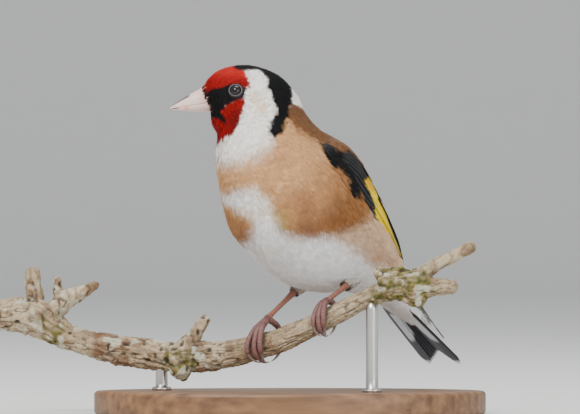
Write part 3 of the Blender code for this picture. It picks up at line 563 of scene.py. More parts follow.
def underWing(place, around, edgeRoom, frontRoom):
    # degrees inside the wing's outline, negative outside it
    rows = np.array(wingSizes["rows"])[::-1]
    fold = folded(around)
    low = np.interp(place, rows[:, 0], rows[:, 1]) - edgeRoom
    high = np.interp(place, rows[:, 0], rows[:, 2]) + edgeRoom
    degreesPerStation = 22
    front = (rows[-1, 0] - frontRoom - place) * degreesPerStation
    return np.minimum(np.minimum(low - fold, fold - high), front)


coatSizes = {
    # feather length, half width, spacing and depth of the coat, each at these stations
    "stations": (-1.0, 0.0, 1.5, 3.0, 6.0, 8.0, 9.0, 10.0, 11.0, 12.0, 13.0, 14.0, 15.0),
    "length": (4.0, 4.6, 6.0, 7.0, 6.6, 5.6, 4.8, 3.8, 3.0, 2.5, 2.2, 1.9, 1.5),
    "halfWidth": (1.2, 1.3, 1.5, 1.6, 1.5, 1.3, 1.05, 0.85, 0.7, 0.6, 0.5, 0.44, 0.36),
    "spacing": (0.95, 0.95, 0.95, 0.95, 0.95, 0.85, 0.72, 0.6, 0.52, 0.47, 0.44, 0.42, 0.4),
    "depth": (0.6, 0.7, 0.9, 1.1, 1.2, 1.1, 0.95, 0.8, 0.7, 0.6, 0.55, 0.45, 0.3),
    "seed": 7,
}


def coatSize(key, place):
    return np.interp(place, coatSizes["stations"], coatSizes[key])


# Eyes

eyeSizes = {
    "place": 12.03,
    "around": 80.0,
    "radius": 1.95,
    "depth": 1.15,
    "cornea": 0.03,
    "clear": 2.15,
    # radians from the pupil's middle where the iris begins, is full, fades and ends
    "irisRing": (0.42, 0.5, 0.78, 0.9),
    "pupilTint": (3, 2, 2),
    "irisTint": (30, 16, 10),
    "poleTint": (6, 5, 5),
    # radius, height over the body and shade of each row of the lid ring, from the eye outwards; the shade is
    # painted shade, darkest where the ring dips to the eye and where it sinks under the coat
    "lidRows": ((1.60, 0.00, 0.25), (1.64, 0.10, 0.55), (1.71, 0.20, 1.0), (1.79, 0.24, 1.0),
                (1.88, 0.17, 0.8), (1.96, 0.02, 0.35), (2.2, -0.35, 0.08), (2.6, -1.2, 0.05)),
    "lidTint": (92, 90, 94),
    "lidOval": 0.035,
    "beads": 26,
    "beadHeight": 0.03,
}


def eyeFrame(side):
    place, around = np.array(eyeSizes["place"]), np.array(side * eyeSizes["around"])
    surface, outward, along, _ = bodyFrame(place, around)
    back = unit(-along - outward * dot(-along, outward))
    return surface, outward, back, np.cross(outward, back)


eyeFrames = {side: eyeFrame(side) for side in (1, -1)}


def fromEye(side, points):
    # the way from the eye's axis to points, and how far out they stand along it
    surface, outward = eyeFrames[side][:2]
    away = points - surface
    depth = dot(away, outward)
    return away - depth * outward, depth[..., 0]


def eyeRing(side, turn):
    # directions round the eye's axis
    _, _, back, up = eyeFrames[side]
    return np.cos(turn)[..., None] * back + np.sin(turn)[..., None] * up * side


def eyeFinish():
    finish, nodes, links, shader = material("eye_glass", 0.09)
    shader.inputs["Specular IOR Level"].default_value = 0.2
    shader.inputs["Coat Weight"].default_value = 0.45
    shader.inputs["Coat Roughness"].default_value = 0.02
    shaded = shadeBy(nodes, links, pointColour(nodes), noise(nodes, links, 4000), 0.8, 1.25)
    links.new(shaded, shader.inputs["Base Color"])
    return finish


def makeEyes():
    finish = eyeFinish()
    rows, columns = 40, 64
    polar = np.pi * (np.arange(rows) + 0.5) / rows
    polar, turn = np.meshgrid(polar, 2 * np.pi * np.arange(columns) / columns, indexing="ij")
    bulge = 1 + eyeSizes["cornea"] * np.exp(-(polar / 0.5) ** 2)
    begins, full, fades, ends = eyeSizes["irisRing"]
    iris = ease(begins, full, polar) * (1 - ease(fades, ends, polar))
    tints = mixed(paint(*eyeSizes["pupilTint"]), paint(*eyeSizes["irisTint"]), iris).reshape(-1, 3)
    pole = [paint(*eyeSizes["poleTint"])]
    for side, name in ((1, "left"), (-1, "right")):
        surface, outward = eyeFrames[side][:2]
        centre = surface - eyeSizes["depth"] * outward
        direction = np.cos(polar)[..., None] * outward + np.sin(polar)[..., None] * eyeRing(side, turn)
        points = (centre + direction * (eyeSizes["radius"] * bulge)[..., None]).reshape(-1, 3)
        front = centre + outward * eyeSizes["radius"] * (1 + eyeSizes["cornea"])
        rear = centre - outward * eyeSizes["radius"]
        shape = {
            "points": np.concatenate([points, [front, rear]]),
            "faces": closedFaces(rows, columns)[:, ::-side],
            "colours": np.concatenate([tints, pole, pole]),
        }
        meshPiece("eye_ball_" + name, shape, finish, ["eye_" + name])


def lidRing(side):
    # a thin beaded ring of bare skin round the eye, part of the skin
    surface, outward = eyeFrames[side][:2]
    columns = 96
    turn = 2 * np.pi * np.arange(columns) / columns
    oval = 1 + eyeSizes["lidOval"] * np.cos(2 * turn)
    beads = eyeSizes["beadHeight"] * np.sin(eyeSizes["beads"] * turn)
    rows = []
    for i, (radius, height, _) in enumerate(eyeSizes["lidRows"]):
        bead = beads if 1 <= i <= 4 else 0 * beads
        ring = eyeRing(side, turn) * (radius * oval)[:, None]
        rows.append(surface + ring + outward * (height + bead)[:, None])
    points = np.concatenate(rows)
    # painted shade: each row's colour is darkened by its shade
    shade = np.repeat([row[2] for row in eyeSizes["lidRows"]], columns)[:, None]
    place = np.full(len(points), eyeSizes["place"])
    around = np.full(len(points), side * eyeSizes["around"])
    return {
        "points": points,
        "faces": gridFaces(len(rows), columns, closed=True)[:, ::-side],
        "colours": paint(*eyeSizes["lidTint"]) * shade,
        "bake": bakeAt(place, around),
    }


def bakeAt(place, around):
    # where a place on the body lies on the unwrap of its skin
    u = 0.01 + 0.98 * np.mod(around, 360) / 360
    v = 0.01 + 0.98 * (place + 1.5) / 17.0
    return np.stack(np.broadcast_arrays(u, v), axis=-1)


# Skin: one surface from the tail's coverts to the bill, sunk by the depth of the coat

skinSizes = {"rowStep": 0.42, "columns": 260, "wingHollow": 2.6, "eyeHollow": 1.9, "shade": 0.8}


def skinDepth(place, around, points):
    depth = coatSize("depth", place)
    hollow = ease(-3.0, 4.0, underWing(place, around, 2.0, 0.15))
    depth = depth + (skinSizes["wingHollow"] - depth) * hollow
    for side in (1, -1):
        away, out = fromEye(side, points)
        near = (1 - ease(1.9, 2.5, np.linalg.norm(away, axis=-1))) * (out > -4)
        depth = depth + skinSizes["eyeHollow"] * near
    return depth


def makeSkin(finish):
    places = [-0.3]
    while places[-1] < 15.0:
        here = bodyPoint(np.full(8, places[-1]), np.arange(8) * 45.0)
        ahead = bodyPoint(np.full(8, places[-1] + 0.1), np.arange(8) * 45.0)
        step = skinSizes["rowStep"] / (np.linalg.norm(ahead - here, axis=-1).max() / 0.1)
        places.append(min(15.0, places[-1] + step))
    columns = skinSizes["columns"]
    place, around = np.meshgrid(places, 360.0 * np.arange(columns) / columns, indexing="ij")
    surface, normal, _, _ = bodyFrame(place, around)
    points = surface - skinDepth(place, around, surface)[..., None] * normal
    # the skin carries the coat's markings, darkened by its shade factor: painted shade for the gaps deep
    # under the coat
    colours = plumage(place, around, surface) * skinSizes["shade"]
    bake = bakeAt(place, around).reshape(-1, 2)
    body = {
        "points": np.concatenate([points.reshape(-1, 3), points[[0, -1]].mean(axis=1)]),
        "faces": closedFaces(len(places), columns)[:, ::-1],
        "colours": np.concatenate([colours.reshape(-1, 3), colours[[0, -1]].mean(axis=1)]),
        "bake": np.concatenate([bake, bake[:1], bake[-1:]]),
    }
    skin = joined([body, lidRing(1), lidRing(-1)])
    meshPiece("skin", skin, finish, ["head", "neck", "torso", "thigh_left", "thigh_right"])
    report(f"skin of {len(skin['faces'])} triangles")


# Coat: every small feather is a fan of slim closed barbs that lie along the body

courseShares = (0.0, 0.55, 1.0)          # root, bend and tip along a feather


def featherCourse(place, around, length, lean):
    # the middle lines of feathers, each as root, bend and tip, with their directions
    root, normal, along, across = bodyFrame(place, around)
    lie = unit(-along)
    side = np.cross(normal, lie)
    course = lie * np.cos(lean)[:, None] + side * np.sin(lean)[:, None]
    shorter = np.ones(len(place))
    for eyeSide in (1, -1):
        # feathers part round the eye, and are shorter there
        away, _ = fromEye(eyeSide, root)
        distance = np.linalg.norm(away, axis=-1)
        sameSide = (folded(around - eyeSide * eyeSizes["around"]) < 80) & (place > 10)
        near = (1 - ease(2.0, 4.6, distance)) * sameSide
        radial = unit(away)
        radial = unit(radial - dot(radial, normal) * normal)
        inward = np.minimum(dot(course, radial), 0)
        tangent = np.cross(normal, radial)
        tangent = tangent * np.where(dot(tangent, course) < 0, -1, 1)
        bent = course - inward * radial + tangent * (0.25 - inward * 0.8) + 0.12 * radial
        course = unit(course * (1 - near)[:, None] + bent * near[:, None])
        shorter = shorter * (1 - 0.5 * (1 - ease(2.0, 5.5, distance)) * sameSide)
    length = length * shorter
    aa, ac, cc = dot(along, along), dot(along, across), dot(across, across)
    ca, cb = dot(course, along), dot(course, across)
    area = np.maximum(aa * cc - ac**2, 1e-9)
    placeStep = ((ca * cc - cb * ac) / area)[:, 0] * length
    aroundStep = ((cb * aa - ca * ac) / area)[:, 0] * length
    stops = [bodyFrame(place + share * placeStep, around + share * aroundStep)[:2] for share in courseShares]
    points, normals = (np.stack(parts, axis=1) for parts in zip(*stops))
    return points, normals, length


def featherSides(points, normals):
    # across each feather at its root, bend and tip
    ahead = unit(points[:, 2] - points[:, 0])[:, None]
    return unit(np.cross(normals, ahead))


def tufts(rng, points, normals, halfWidth, rise, blades, colours, tipColours, bake):
    # a fan of blades for each feather; rise is how far its root, bend and tip stand from points
    sides = featherSides(points, normals)
    count = len(points)
    share = np.linspace(-1, 1, blades)[None] + rng.uniform(-0.8, 0.8, (count, blades)) / blades
    reach = 1 - 0.32 * share**2 + rng.uniform(-0.16, 0.1, (count, blades))
    wide = halfWidth[:, None]
    stops = []
    for k, spread in enumerate((0.3, 0.8, 1.05)):
        lift = rise[:, k][:, None] - 0.12 * share**2 * wide
        stop = points[:, k][:, None] + normals[:, k][:, None] * lift[..., None]
        stops.append(stop + sides[:, k][:, None] * (share * spread * wide)[..., None])
    root, bend, tip = stops
    tip = bend + (tip - bend) * reach[..., None]
    half = (wide / blades * 1.25 * rng.uniform(0.8, 1.25, (count, blades)))[..., None]
    normal = np.broadcast_to(normals[:, 1][:, None], bend.shape)
    side = np.broadcast_to(sides[:, 1][:, None], bend.shape)
    ridge = bend + normal * half * 0.4
    corners = np.stack([root, bend + side * half, bend - side * half, ridge, tip], axis=2)
    lean = (share * 0.22)[..., None]
    soft = 0.3                             # how far a blade's edges shade as if they turned away
    shading = np.stack([
        np.broadcast_to(normals[:, 0][:, None], bend.shape),
        normal + side * (lean + soft),
        normal + side * (lean - soft),
        normal + side * lean,
        np.broadcast_to(normals[:, 2][:, None], bend.shape) + side * lean,
    ], axis=2)
    bladeShade = rng.uniform(0.88, 1.12, (count, blades, 1, 1))
    base = colours[:, None, None]
    tips = tipColours[:, None, None]
    # each blade is darkest at its root, partly the feather's own grey down and partly painted shade deep in
    # the coat; its two edges at the bend are a little darker than its raised ridge, painted shade
    tints = np.concatenate([base * 0.62, base * 0.94, base * 0.94, base, tips], axis=2) * bladeShade
    local = np.array([[0.0, -1.0], [0.25, 0.0], [-0.25, 0.0], [0.0, 0.0], [0.0, 1.0]]) * 0.0014
    patch = bake[:, None, None] + local + np.stack([share * 0.0011, 0 * share], axis=-1)[:, :, None]
    shape = np.array([[0, 3, 1], [0, 2, 3], [1, 3, 4], [2, 4, 3], [0, 1, 2], [4, 2, 1]])
    faces = (np.arange(count * blades) * 5)[:, None, None] + shape
    return {
        "points": corners.reshape(-1, 3),
        "faces": faces.reshape(-1, 3),
        "normals": shading.reshape(-1, 3),
        "colours": tints.reshape(-1, 3),
        "bake": patch.reshape(-1, 2),
    }


def coatRoots(rng):
    # rows of roots round the body, thinned where the rows crowd
    places, arounds = [], []
    place = -0.2
    number = 0
    while place < 14.98:
        ring = np.linspace(0, 360, 721)
        lengths = distances(bodyPoint(np.full(721, place), ring))
        spacing = coatSize("spacing", place)
        count = int(lengths[-1] / spacing)
        spots = np.arange(count) + 0.5 * (number % 2) + rng.uniform(-0.35, 0.35, count)
        spots = spots * lengths[-1] / count
        around = np.interp(np.mod(spots, lengths[-1]), lengths, ring)
        ahead = bodyPoint(np.full(count, place + 0.1), around)
        stretch = np.linalg.norm(ahead - bodyPoint(np.full(count, place), around), axis=-1) / 0.1
        step = spacing / stretch.max()
        keep = rng.random(count) < np.maximum(stretch * step / spacing, 0.12)
        places.append(place + rng.uniform(-0.5, 0.5, keep.sum()) * step)
        arounds.append(around[keep])
        place += step
        number += 1
    return np.clip(np.concatenate(places), -0.6, 14.99), np.concatenate(arounds)


# Pieces of the coat: which part of the body each takes, first match first
coatParts = (
    ("coat_face", lambda p, a: p > 12.6, "head_feathers", 6),
    ("coat_crown", lambda p, a: (p > 10.6) & (a < 62), "head_feathers", 7),
    ("coat_cheeks", lambda p, a: (p > 10.4), "head_feathers", 7),
    ("coat_nape", lambda p, a: (p > 8.6) & (a < 100), "body_feathers", 8),
    ("coat_throat", lambda p, a: (p > 8.6), "body_feathers", 8),
    ("coat_mantle", lambda p, a: (p > 1.6) & (a < 58), "body_feathers", 9),
    ("coat_breast", lambda p, a: (p > 6.4) & (a >= 58), "body_feathers", 9),
    ("coat_flanks", lambda p, a: (p > 1.6) & (a < 130), "body_feathers", 9),
    ("coat_belly", lambda p, a: (p > 1.6), "body_feathers", 9),
    ("coat_vent", lambda p, a: p > -9, "body_feathers", 9),
)


def makeCoat(finish):
    rng = np.random.default_rng(coatSizes["seed"])
    place, around = coatRoots(rng)
    keep = underWing(place, around, 7.0, 0.3) < 0
    for side in (1, -1):
        away, out = fromEye(side, bodyPoint(place, around))
        keep &= (np.linalg.norm(away, axis=-1) > eyeSizes["clear"]) | (out < -5)
    place, around = place[keep], around[keep]
    fold = folded(around)
    count = len(place)
    spot = bodyPoint(place, around)
    lean = np.radians(14 * grain(spot, 9.0, 3) + rng.normal(0, 6, count))
    length = coatSize("length", place) * rng.uniform(0.85, 1.12, count)
    halfWidth = coatSize("halfWidth", place) * rng.uniform(0.85, 1.15, count)
    depth = coatSize("depth", place)
    overWing = ease(-6, 1, underWing(place, around, 0.0, 0.0))
    points, normals, length = featherCourse(place, around, length, lean)
    halfWidth = halfWidth * np.clip(length / coatSize("length", place), 0.6, 1.1)
    rise = np.stack([
        -(depth + 0.25) * (1 - overWing),
        -0.42 * depth * (1 - overWing) + 0.22 * overWing,
        rng.uniform(-0.12, 0.12, count) + 0.42 * overWing,
    ], axis=1)
    colours = plumage(place, around, points[:, 1])
    shade = rng.uniform(0.9, 1.1, (count, 1))
    tipShare = 0.12 * ease(0.1, 0.3, colours.mean(axis=1))
    tipColours = mixed(colours, np.broadcast_to(palette["buff"], colours.shape), tipShare)
    bake = bakeAt(place, around)
    left = np.ones(count, bool)
    total = 0
    for name, takes, slot, blades in coatParts:
        mine = left & takes(place, fold)
        left &= ~mine
        shape = tufts(rng, points[mine], normals[mine], halfWidth[mine], rise[mine], blades,
                      colours[mine] * shade[mine], tipColours[mine] * shade[mine], bake[mine])
        meshPiece(name, shape, finish)
        total += len(shape["faces"])
        print(f"    {name}: {int(mine.sum())} feathers, {len(shape['faces'])} triangles")
    report(f"coat of {count} feathers and {total} triangles")
    makeBristles(rng, finish)


def riseBetween(rng, count, bend, tip):
    # sunken roots, with bends and tips at random heights between the given ones
    return np.stack([np.full(count, -0.3), rng.uniform(*bend, count), rng.uniform(*tip, count)], axis=1)


bristleSizes = {"count": 520, "length": (1.3, 2.3), "halfWidth": 0.13, "paleShare": 0.06}


def makeBristles(rng, finish):
    # bristles that lie forward over the base of the bill
    count = bristleSizes["count"]
    place = rng.uniform(14.1, 14.9, count)
    around = rng.uniform(0, 360, count)
    lean = np.pi + rng.normal(0, 0.25, count)
    length = rng.uniform(*bristleSizes["length"], count)
    points, normals, _ = featherCourse(place, around, length, lean)
    rise = riseBetween(rng, count, (-0.1, 0.1), (-0.1, 0.25))
    colours = plumage(place, around, points[:, 0])
    colours[rng.random(count) < bristleSizes["paleShare"]] = palette["cream"] * 0.6
    shape = tufts(rng, points, normals, np.full(count, bristleSizes["halfWidth"]), rise, 3, colours, colours,
                  bakeAt(place, around))
    meshPiece("coat_bristles", shape, finish)


# Long feathers: a thin closed vane with a raised shaft

def longFeather(centres, normals, halves, raised, rachis, colours, atlas, thickness):
    # halves is the half width along the feather; colours has a row for each cross-section
    rows = len(centres)
    columns = colours.shape[1]
    across = np.linspace(-1, 1, columns)
    direction = unit(np.gradient(centres, axis=0))
    sideways = unit(np.cross(normals, direction))
    fromShaft = np.abs(across - rachis)
    crown = 0.10 * np.exp(-(fromShaft / 0.09) ** 2) - 0.10 * fromShaft**2
    lift = crown - raised * across * (halves / halves.max())[:, None]
    top = centres[:, None] + sideways[:, None] * (across[None] * halves[:, None])[..., None]
    top = top + normals[:, None] * lift[..., None]
    edge = np.sqrt(np.clip(1 - across**2, 0, 1)) * 0.8 + 0.2
    under = top - normals[:, None] * (thickness * edge)[None, :, None]
    ring = np.concatenate([top, under[:, ::-1]], axis=1)
    tints = np.concatenate([colours, colours[:, ::-1]], axis=1)
    lieAcross = (across - rachis) * halves[:, None]
    lieTop = np.stack(np.broadcast_arrays(distances(centres)[:, None], lieAcross), axis=-1)
    lie = np.concatenate([lieTop, lieTop[:, ::-1]], axis=1)
    # on the unwrap the top takes the cell's left half and the underside its right half
    left, bottom, wide, high = atlas
    topU = left + wide * (0.05 + 0.4 * (across + 1) / 2)
    underU = left + wide * (0.55 + 0.4 * (1 - across[::-1]) / 2)
    v = bottom + high * np.linspace(0.03, 0.97, rows)[:, None]
    bake = np.stack(np.broadcast_arrays(np.concatenate([topU, underU]), v), axis=-1)
    size = 2 * columns
    j = np.arange(columns - 1)
    c, d = size - 2 - j, size - 1 - j
    strip = np.array([[j, j + 1, c], [j, c, d]]).transpose(2, 0, 1).reshape(-1, 3)
    faces = [gridFaces(rows, size, closed=True), strip[:, ::-1], strip + (rows - 1) * size]
    return {
        "points": ring.reshape(-1, 3),
        "faces": np.concatenate(faces)[:, ::-1],
        "colours": tints.reshape(-1, 3),
        "lie": lie.reshape(-1, 2),
        "bake": bake.reshape(-1, 2),
    }


def featherWidth(t, tipLength):
    # half width along a feather as a share of its widest, round at the tip
    roundTip = np.sqrt(np.clip((1.0 - t) / tipLength, 0, 1))
    return np.minimum(0.55 + 1.3 * t, 1.0) * np.maximum(roundTip, 0.05)


def atlasCell(number, columns, rows):
    column, row = number % columns, number // columns
    return (column + 0.02) / columns, (row + 0.02) / rows, 0.96 / columns, 0.96 / rows


# Wing feathers by tier, lowest tier first: how many, then root and tip of the lower edge's and the back's
# feather as (row along, share across), half width, depth of root and tip, lower edge's rise, sections
wingTiers = {
    "primary": (9, (2.3, 0.08), (2.7, 0.36), (7.97, 0.42), (5.9, 0.5), 1.75, (1.55, 0.6), 0.12, 44),
    "secondary": (7, (2.4, 0.4), (2.7, 0.68), (5.9, 0.46), (5.4, 0.8), 2.1, (0.75, 0.45), 0.2, 40),
    "tertial": (3, (2.7, 0.7), (3.0, 0.9), (5.3, 0.74), (4.2, 0.9), 2.7, (0.42, 0.22), 0.22, 34),
    "primaryCovert": (7, (1.3, 0.05), (1.6, 0.24), (3.5, 0.07), (3.0, 0.27), 1.35, (0.6, 0.34), 0.16, 26),
    "greaterCovert": (9, (1.5, 0.2), (1.7, 0.92), (3.15, 0.26), (3.2, 0.9), 2.1, (0.4, 0.16), 0.2, 26),
    "alula": (3, (0.5, 0.12), (0.7, 0.26), (2.35, 0.08), (1.8, 0.2), 1.4, (0.42, 0.12), 0.12, 22),
    "medianCovert": (9, (0.95, 0.14), (0.95, 0.9), (2.1, 0.18), (2.2, 0.88), 1.9, (0.24, 0.0), 0.18, 20),
    "lesserCovertLow": (9, (0.55, 0.16), (0.6, 0.86), (1.5, 0.16), (1.6, 0.86), 1.7, (0.12, -0.08), 0.16, 14),
    "lesserCovertTop": (8, (0.1, 0.2), (0.2, 0.82), (1.0, 0.16), (1.1, 0.86), 1.6, (0.02, -0.14), 0.14, 14),
}


wingScale = np.array((8.0, 24.0))        # about how many millimetres a row and the whole width are worth


def onWing(along, across, name, soft):
    outline = np.array(wingMarks[name]) * wingScale
    return within(along * wingScale[0], across * wingScale[1], outline, soft)


def wingColours(tier, along, across, t, u, points):
    # black with a yellow bar; the flight feathers have pale fringes and white tips
    colour = np.broadcast_to(palette["black"], (*along.shape, 3))
    ragged = 0.03 * grain(points, 0.9, 21)
    if tier in ("primary", "secondary", "greaterCovert", "tertial"):
        yellow = onWing(along + ragged, across + ragged, "yellow", 0.3)
        orange = onWing(along + ragged, across + ragged, "orange", 0.8)
        gold = mixed(palette["yellow"], palette["yellowDeep"], 0.6 * orange)
        colour = mixed(colour, gold, yellow * (0.15 if tier == "tertial" else 1.0))
    outer = ease(-0.72, -0.9, u)           # the web's edge on the side of the wing's lower edge
    if tier in ("primary", "secondary"):
        fringe = outer * ease(0.3, 0.5, t) * (1 - ease(0.93, 0.97, t))
        colour = mixed(colour, palette["silver"], 0.4 * fringe * (1 - 0.5 * (tier == "secondary")))
        tipSpot = ease(0.955, 0.98, t + 0.012 * np.abs(u))
        colour = mixed(colour, palette["white"], 0.45 * tipSpot)
    if tier == "tertial":
        tipSpot = ease(0.86, 0.93, t - 0.02 * np.abs(u))
        colour = mixed(colour, palette["white"], 0.95 * tipSpot)
    if tier in ("lesserCovertLow", "lesserCovertTop", "medianCovert"):
        colour = mixed(colour, palette["blackSoft"], 0.6 * ease(0.8, 1.0, t))
        if tier == "lesserCovertTop":
            high = ease(0.55, 0.85, across)
            colour = mixed(colour, palette["mantle"], 0.7 * high)
    return colour


def makeWing(side, name, finish):
    rng = np.random.default_rng(wingSizes["seed"] + side)
    vanes = []
    total = sum(sizes[0] for sizes in wingTiers.values())
    cells = (9, math.ceil(total / 9))
    for tier, sizes in wingTiers.items():
        count, rootLow, rootHigh, tipLow, tipHigh, half, depths, raised, rows = sizes
        for number in range(count):
            share = number / (count - 1)
            root = np.array(rootLow) * (1 - share) + np.array(rootHigh) * share
            tip = np.array(tipLow) * (1 - share) + np.array(tipHigh) * share
            tip = tip + (rng.uniform(-0.04, 0.04), rng.uniform(-0.01, 0.01))
            rootDepth = depths[0] - (0.55 * share if tier == "primary" else 0.0)
            tipDepth = depths[1] + (0.45 * (1 - share) if tier == "primary" else 0.0)
            t = np.linspace(0, 1, rows) ** 0.92
            along = root[0] + (tip[0] - root[0]) * t
            across = root[1] + (tip[1] - root[1]) * t
            centres, normals = wingFrame(side, along, across, rootDepth + (tipDepth - rootDepth) * t)
            tipLength = 0.12 if tier in ("primary", "secondary") else 0.3
            halves = half * featherWidth(t, tipLength) * rng.uniform(0.97, 1.03)
            uGrid = np.broadcast_to(np.linspace(-side, side, 11), (rows, 11))
            tGrid = np.broadcast_to(t[:, None], uGrid.shape)
            alongGrid = np.broadcast_to(along[:, None], uGrid.shape)
            acrossGrid = across[:, None] + uGrid * halves[:, None] / wingScale[1]
            spots = centres[:, None] + np.stack([0 * uGrid, 0 * uGrid, uGrid], axis=-1)
            colours = wingColours(tier, alongGrid, acrossGrid, tGrid, uGrid, spots) * rng.uniform(0.9, 1.1)
            rachis = -0.35 * side if tier == "primary" else -0.12 * side
            vanes.append(longFeather(centres, normals, halves, raised * side, rachis, colours,
                                     atlasCell(len(vanes), *cells), wingSizes["vaneThickness"]))
    shape = joined(vanes)
    meshPiece(name + "_feathers", shape, finish, [name])
    report(f"{name} with {len(vanes)} feathers and {len(shape['faces'])} triangles")


# Tail: six pairs, the middle pair on top and the outer pair lowest and longest

tailSizes = {
    "root": (-50.5, 36.2),
    "tip": (-77.8, 15.1),
    "pairs": 6,
    "spreadRoot": (0.4, 0.5),
    "spreadTip": (1.0, 1.05),
    "halfWidth": 1.95,
    "fork": 3.8,
    "stack": 0.3,
    "raisedEdge": 0.1,
    "thickness": 0.14,
    "rows": 46,
    "seed": 5,
}


def tailColours(pair, side, t, u):
    # u runs to the bird's left; the outer pairs have white windows on their inner webs
    inner = -u * side
    colour = np.broadcast_to(palette["tailGrey"], (*t.shape, 3)) * 1.0
    colour = mixed(colour, palette["black"], 0.75 * ease(0.3, 0.8, -inner))
    if pair >= 3:
        reach = {3: 0.0, 4: 0.86, 5: 1.0}[pair]
        start, end = (0.26, 0.66) if pair == 5 else (0.3, 0.62)
        window = ease(start, start + 0.05, t) * (1 - ease(end - 0.02, end + 0.04, t + 0.05 * inner**2))
        window = window * ease(-0.38, -0.24, inner) * reach
        colour = mixed(colour, palette["tailWindow"], window)
    tipSpot = ease(0.945, 0.975, t + 0.01 * (1 - np.abs(u)))
    colour = mixed(colour, palette["white"], 0.85 * tipSpot)
    return colour


def makeTail(finish):
    rng = np.random.default_rng(tailSizes["seed"])
    root = turned(tailSizes["root"][0], 0.0, tailSizes["root"][1])
    tip = turned(tailSizes["tip"][0], 0.0, tailSizes["tip"][1])
    axis = unit(tip - root)
    reachFull = np.linalg.norm(tip - root)
    sideways = turned(0.0, 1.0, 0.0) - turned(0.0, 0.0, 0.0)
    normal = unit(np.cross(axis, sideways))
    vanes = []
    pairs = tailSizes["pairs"]
    t = np.linspace(0, 1, tailSizes["rows"]) ** 0.95
    for pair in range(pairs):
        for side in (1, -1):
            start = side * (tailSizes["spreadRoot"][0] + tailSizes["spreadRoot"][1] * pair)
            end = side * (tailSizes["spreadTip"][0] + tailSizes["spreadTip"][1] * pair)
            reach = reachFull - tailSizes["fork"] * (1 - pair / (pairs - 1)) + rng.uniform(-0.25, 0.25)
            height = tailSizes["stack"] * (pair - 2) + 0.07 * side + 0.2     # downwards
            shift = sideways * (start + (end - start) * t**0.9)[:, None]
            centres = root + axis * (reach * t)[:, None] + shift + normal * height
            normals = np.broadcast_to(normal, centres.shape)
            halves = tailSizes["halfWidth"] * featherWidth(t, 0.1)
            u = np.broadcast_to(np.linspace(-1, 1, 11), (len(t), 11))
            tGrid = np.broadcast_to(t[:, None], u.shape)
            colours = tailColours(pair, side, tGrid, u) * rng.uniform(0.92, 1.08)
            vanes.append(longFeather(centres, normals, halves, tailSizes["raisedEdge"] * side, 0.3 * side,
                                     colours, atlasCell(len(vanes), 4, 3), tailSizes["thickness"]))
    shape = joined(vanes)
    meshPiece("tail_feathers", shape, finish, ["tail"])
    report(f"tail with {len(vanes)} feathers and {len(shape['faces'])} triangles")


# Bill: two half cones that meet in the line of the mouth

billSizes = {
    "tip": (28.7, 90.2),
    "rootTop": (19.1, 96.4),
    "rootBottom": (16.7, 89.3),
    "halfWidth": 3.1,
    "split": 0.36,
    "mouthGap": 0.06,
    "sunk": 0.16,
    # each half: which way it rises from the mouth, its length and the power of its taper
    "halves": {"bill_upper": (1, 1.0, 0.86), "bill_lower": (-1, 0.93, 0.8)},
    "ivory": (220, 194, 184),
    "pink": (206, 152, 142),
    "dark": (36, 28, 32),
    "orange": (222, 140, 80),
}


def makeBill():
    finish = paintedFinish("bill_horn", 0.34, 0.5, 0.06, 0.12)
    top, bottom, tip = (turned(billSizes[key][0], 0.0, billSizes[key][1], 0)
                        for key in ("rootTop", "rootBottom", "tip"))
    upward = unit(top - bottom)
    height = np.linalg.norm(top - bottom)
    split = bottom + upward * height * billSizes["split"]
    sideways = np.array([0.0, -1.0, 0.0])
    ivory, pink, dark, orangeTint = (paint(*billSizes[key]) for key in ("ivory", "pink", "dark", "orange"))
    angles = np.pi * np.arange(29) / 28
    inner = np.linspace(-1, 1, 9)[1:-1]        # across the mouth's face, between the shell's edges
    for name, (sign, length, power) in billSizes["halves"].items():
        reach = height * (1 - billSizes["split"] if sign == 1 else billSizes["split"])
        t = np.linspace(-billSizes["sunk"], length, 48)
        size = np.maximum(np.clip(1 - t, 0, 1.06) ** power, 0.03 + 0.05 * (t > 0.9))
        size = np.where(t < 0, 1.0, size)
        rings, tints = [], []
        for ti, si in zip(t, size):
            middle = split + (tip - split) * ti + upward * sign * billSizes["mouthGap"] / 2
            out = np.cos(angles) * billSizes["halfWidth"] * si
            rise = np.sin(angles) ** 0.85 * reach * si
            shell = middle + sideways * out[:, None] + upward * (sign * rise)[:, None]
            floorOut = inner * billSizes["halfWidth"] * si
            floorRise = -0.16 * (1 - inner**2) * si
            floor = middle + sideways * floorOut[:, None] + upward * floorRise[:, None]
            rings.append(np.concatenate([shell, floor]))
            up = np.concatenate([np.sin(angles), 0 * inner])
            along = np.full(len(up), ti)
            tint = mixed(np.broadcast_to(ivory, (len(up), 3)), pink, 0.5 * ease(0.25, 0.0, along))
            if sign == 1:
                # on the upper half a dark stripe runs along the top
                darkLine = ease(0.72, 0.93, up) * ease(0.3, 0.42, along)
            else:
                # on the lower half a dark line runs along the mouth towards the tip: painted shade under the
                # upper half's edge
                darkLine = ease(0.5, 0.1, up) * ease(0.66, 0.8, along)
                orange = ease(0.12, 0.02, np.abs(along - 0.55)) * ease(0.75, 0.4, up)
                tint = mixed(tint, orangeTint, 0.7 * orange)
            tint = mixed(tint, dark, np.clip(darkLine + 0.7 * ease(0.93, 1.0, along), 0, 1))
            tints.append(tint)
        shape = {
            "points": np.concatenate([*rings, [rings[0].mean(axis=0), rings[-1].mean(axis=0)]]),
            "faces": closedFaces(len(t), len(rings[0]))[:, ::sign],
            "colours": np.concatenate([*tints, [ivory, dark]]),
        }
        meshPiece(name + "_horn", shape, finish, [name])
    report("bill")


# Branch, as drawn in the photograph: columns, rows and radii

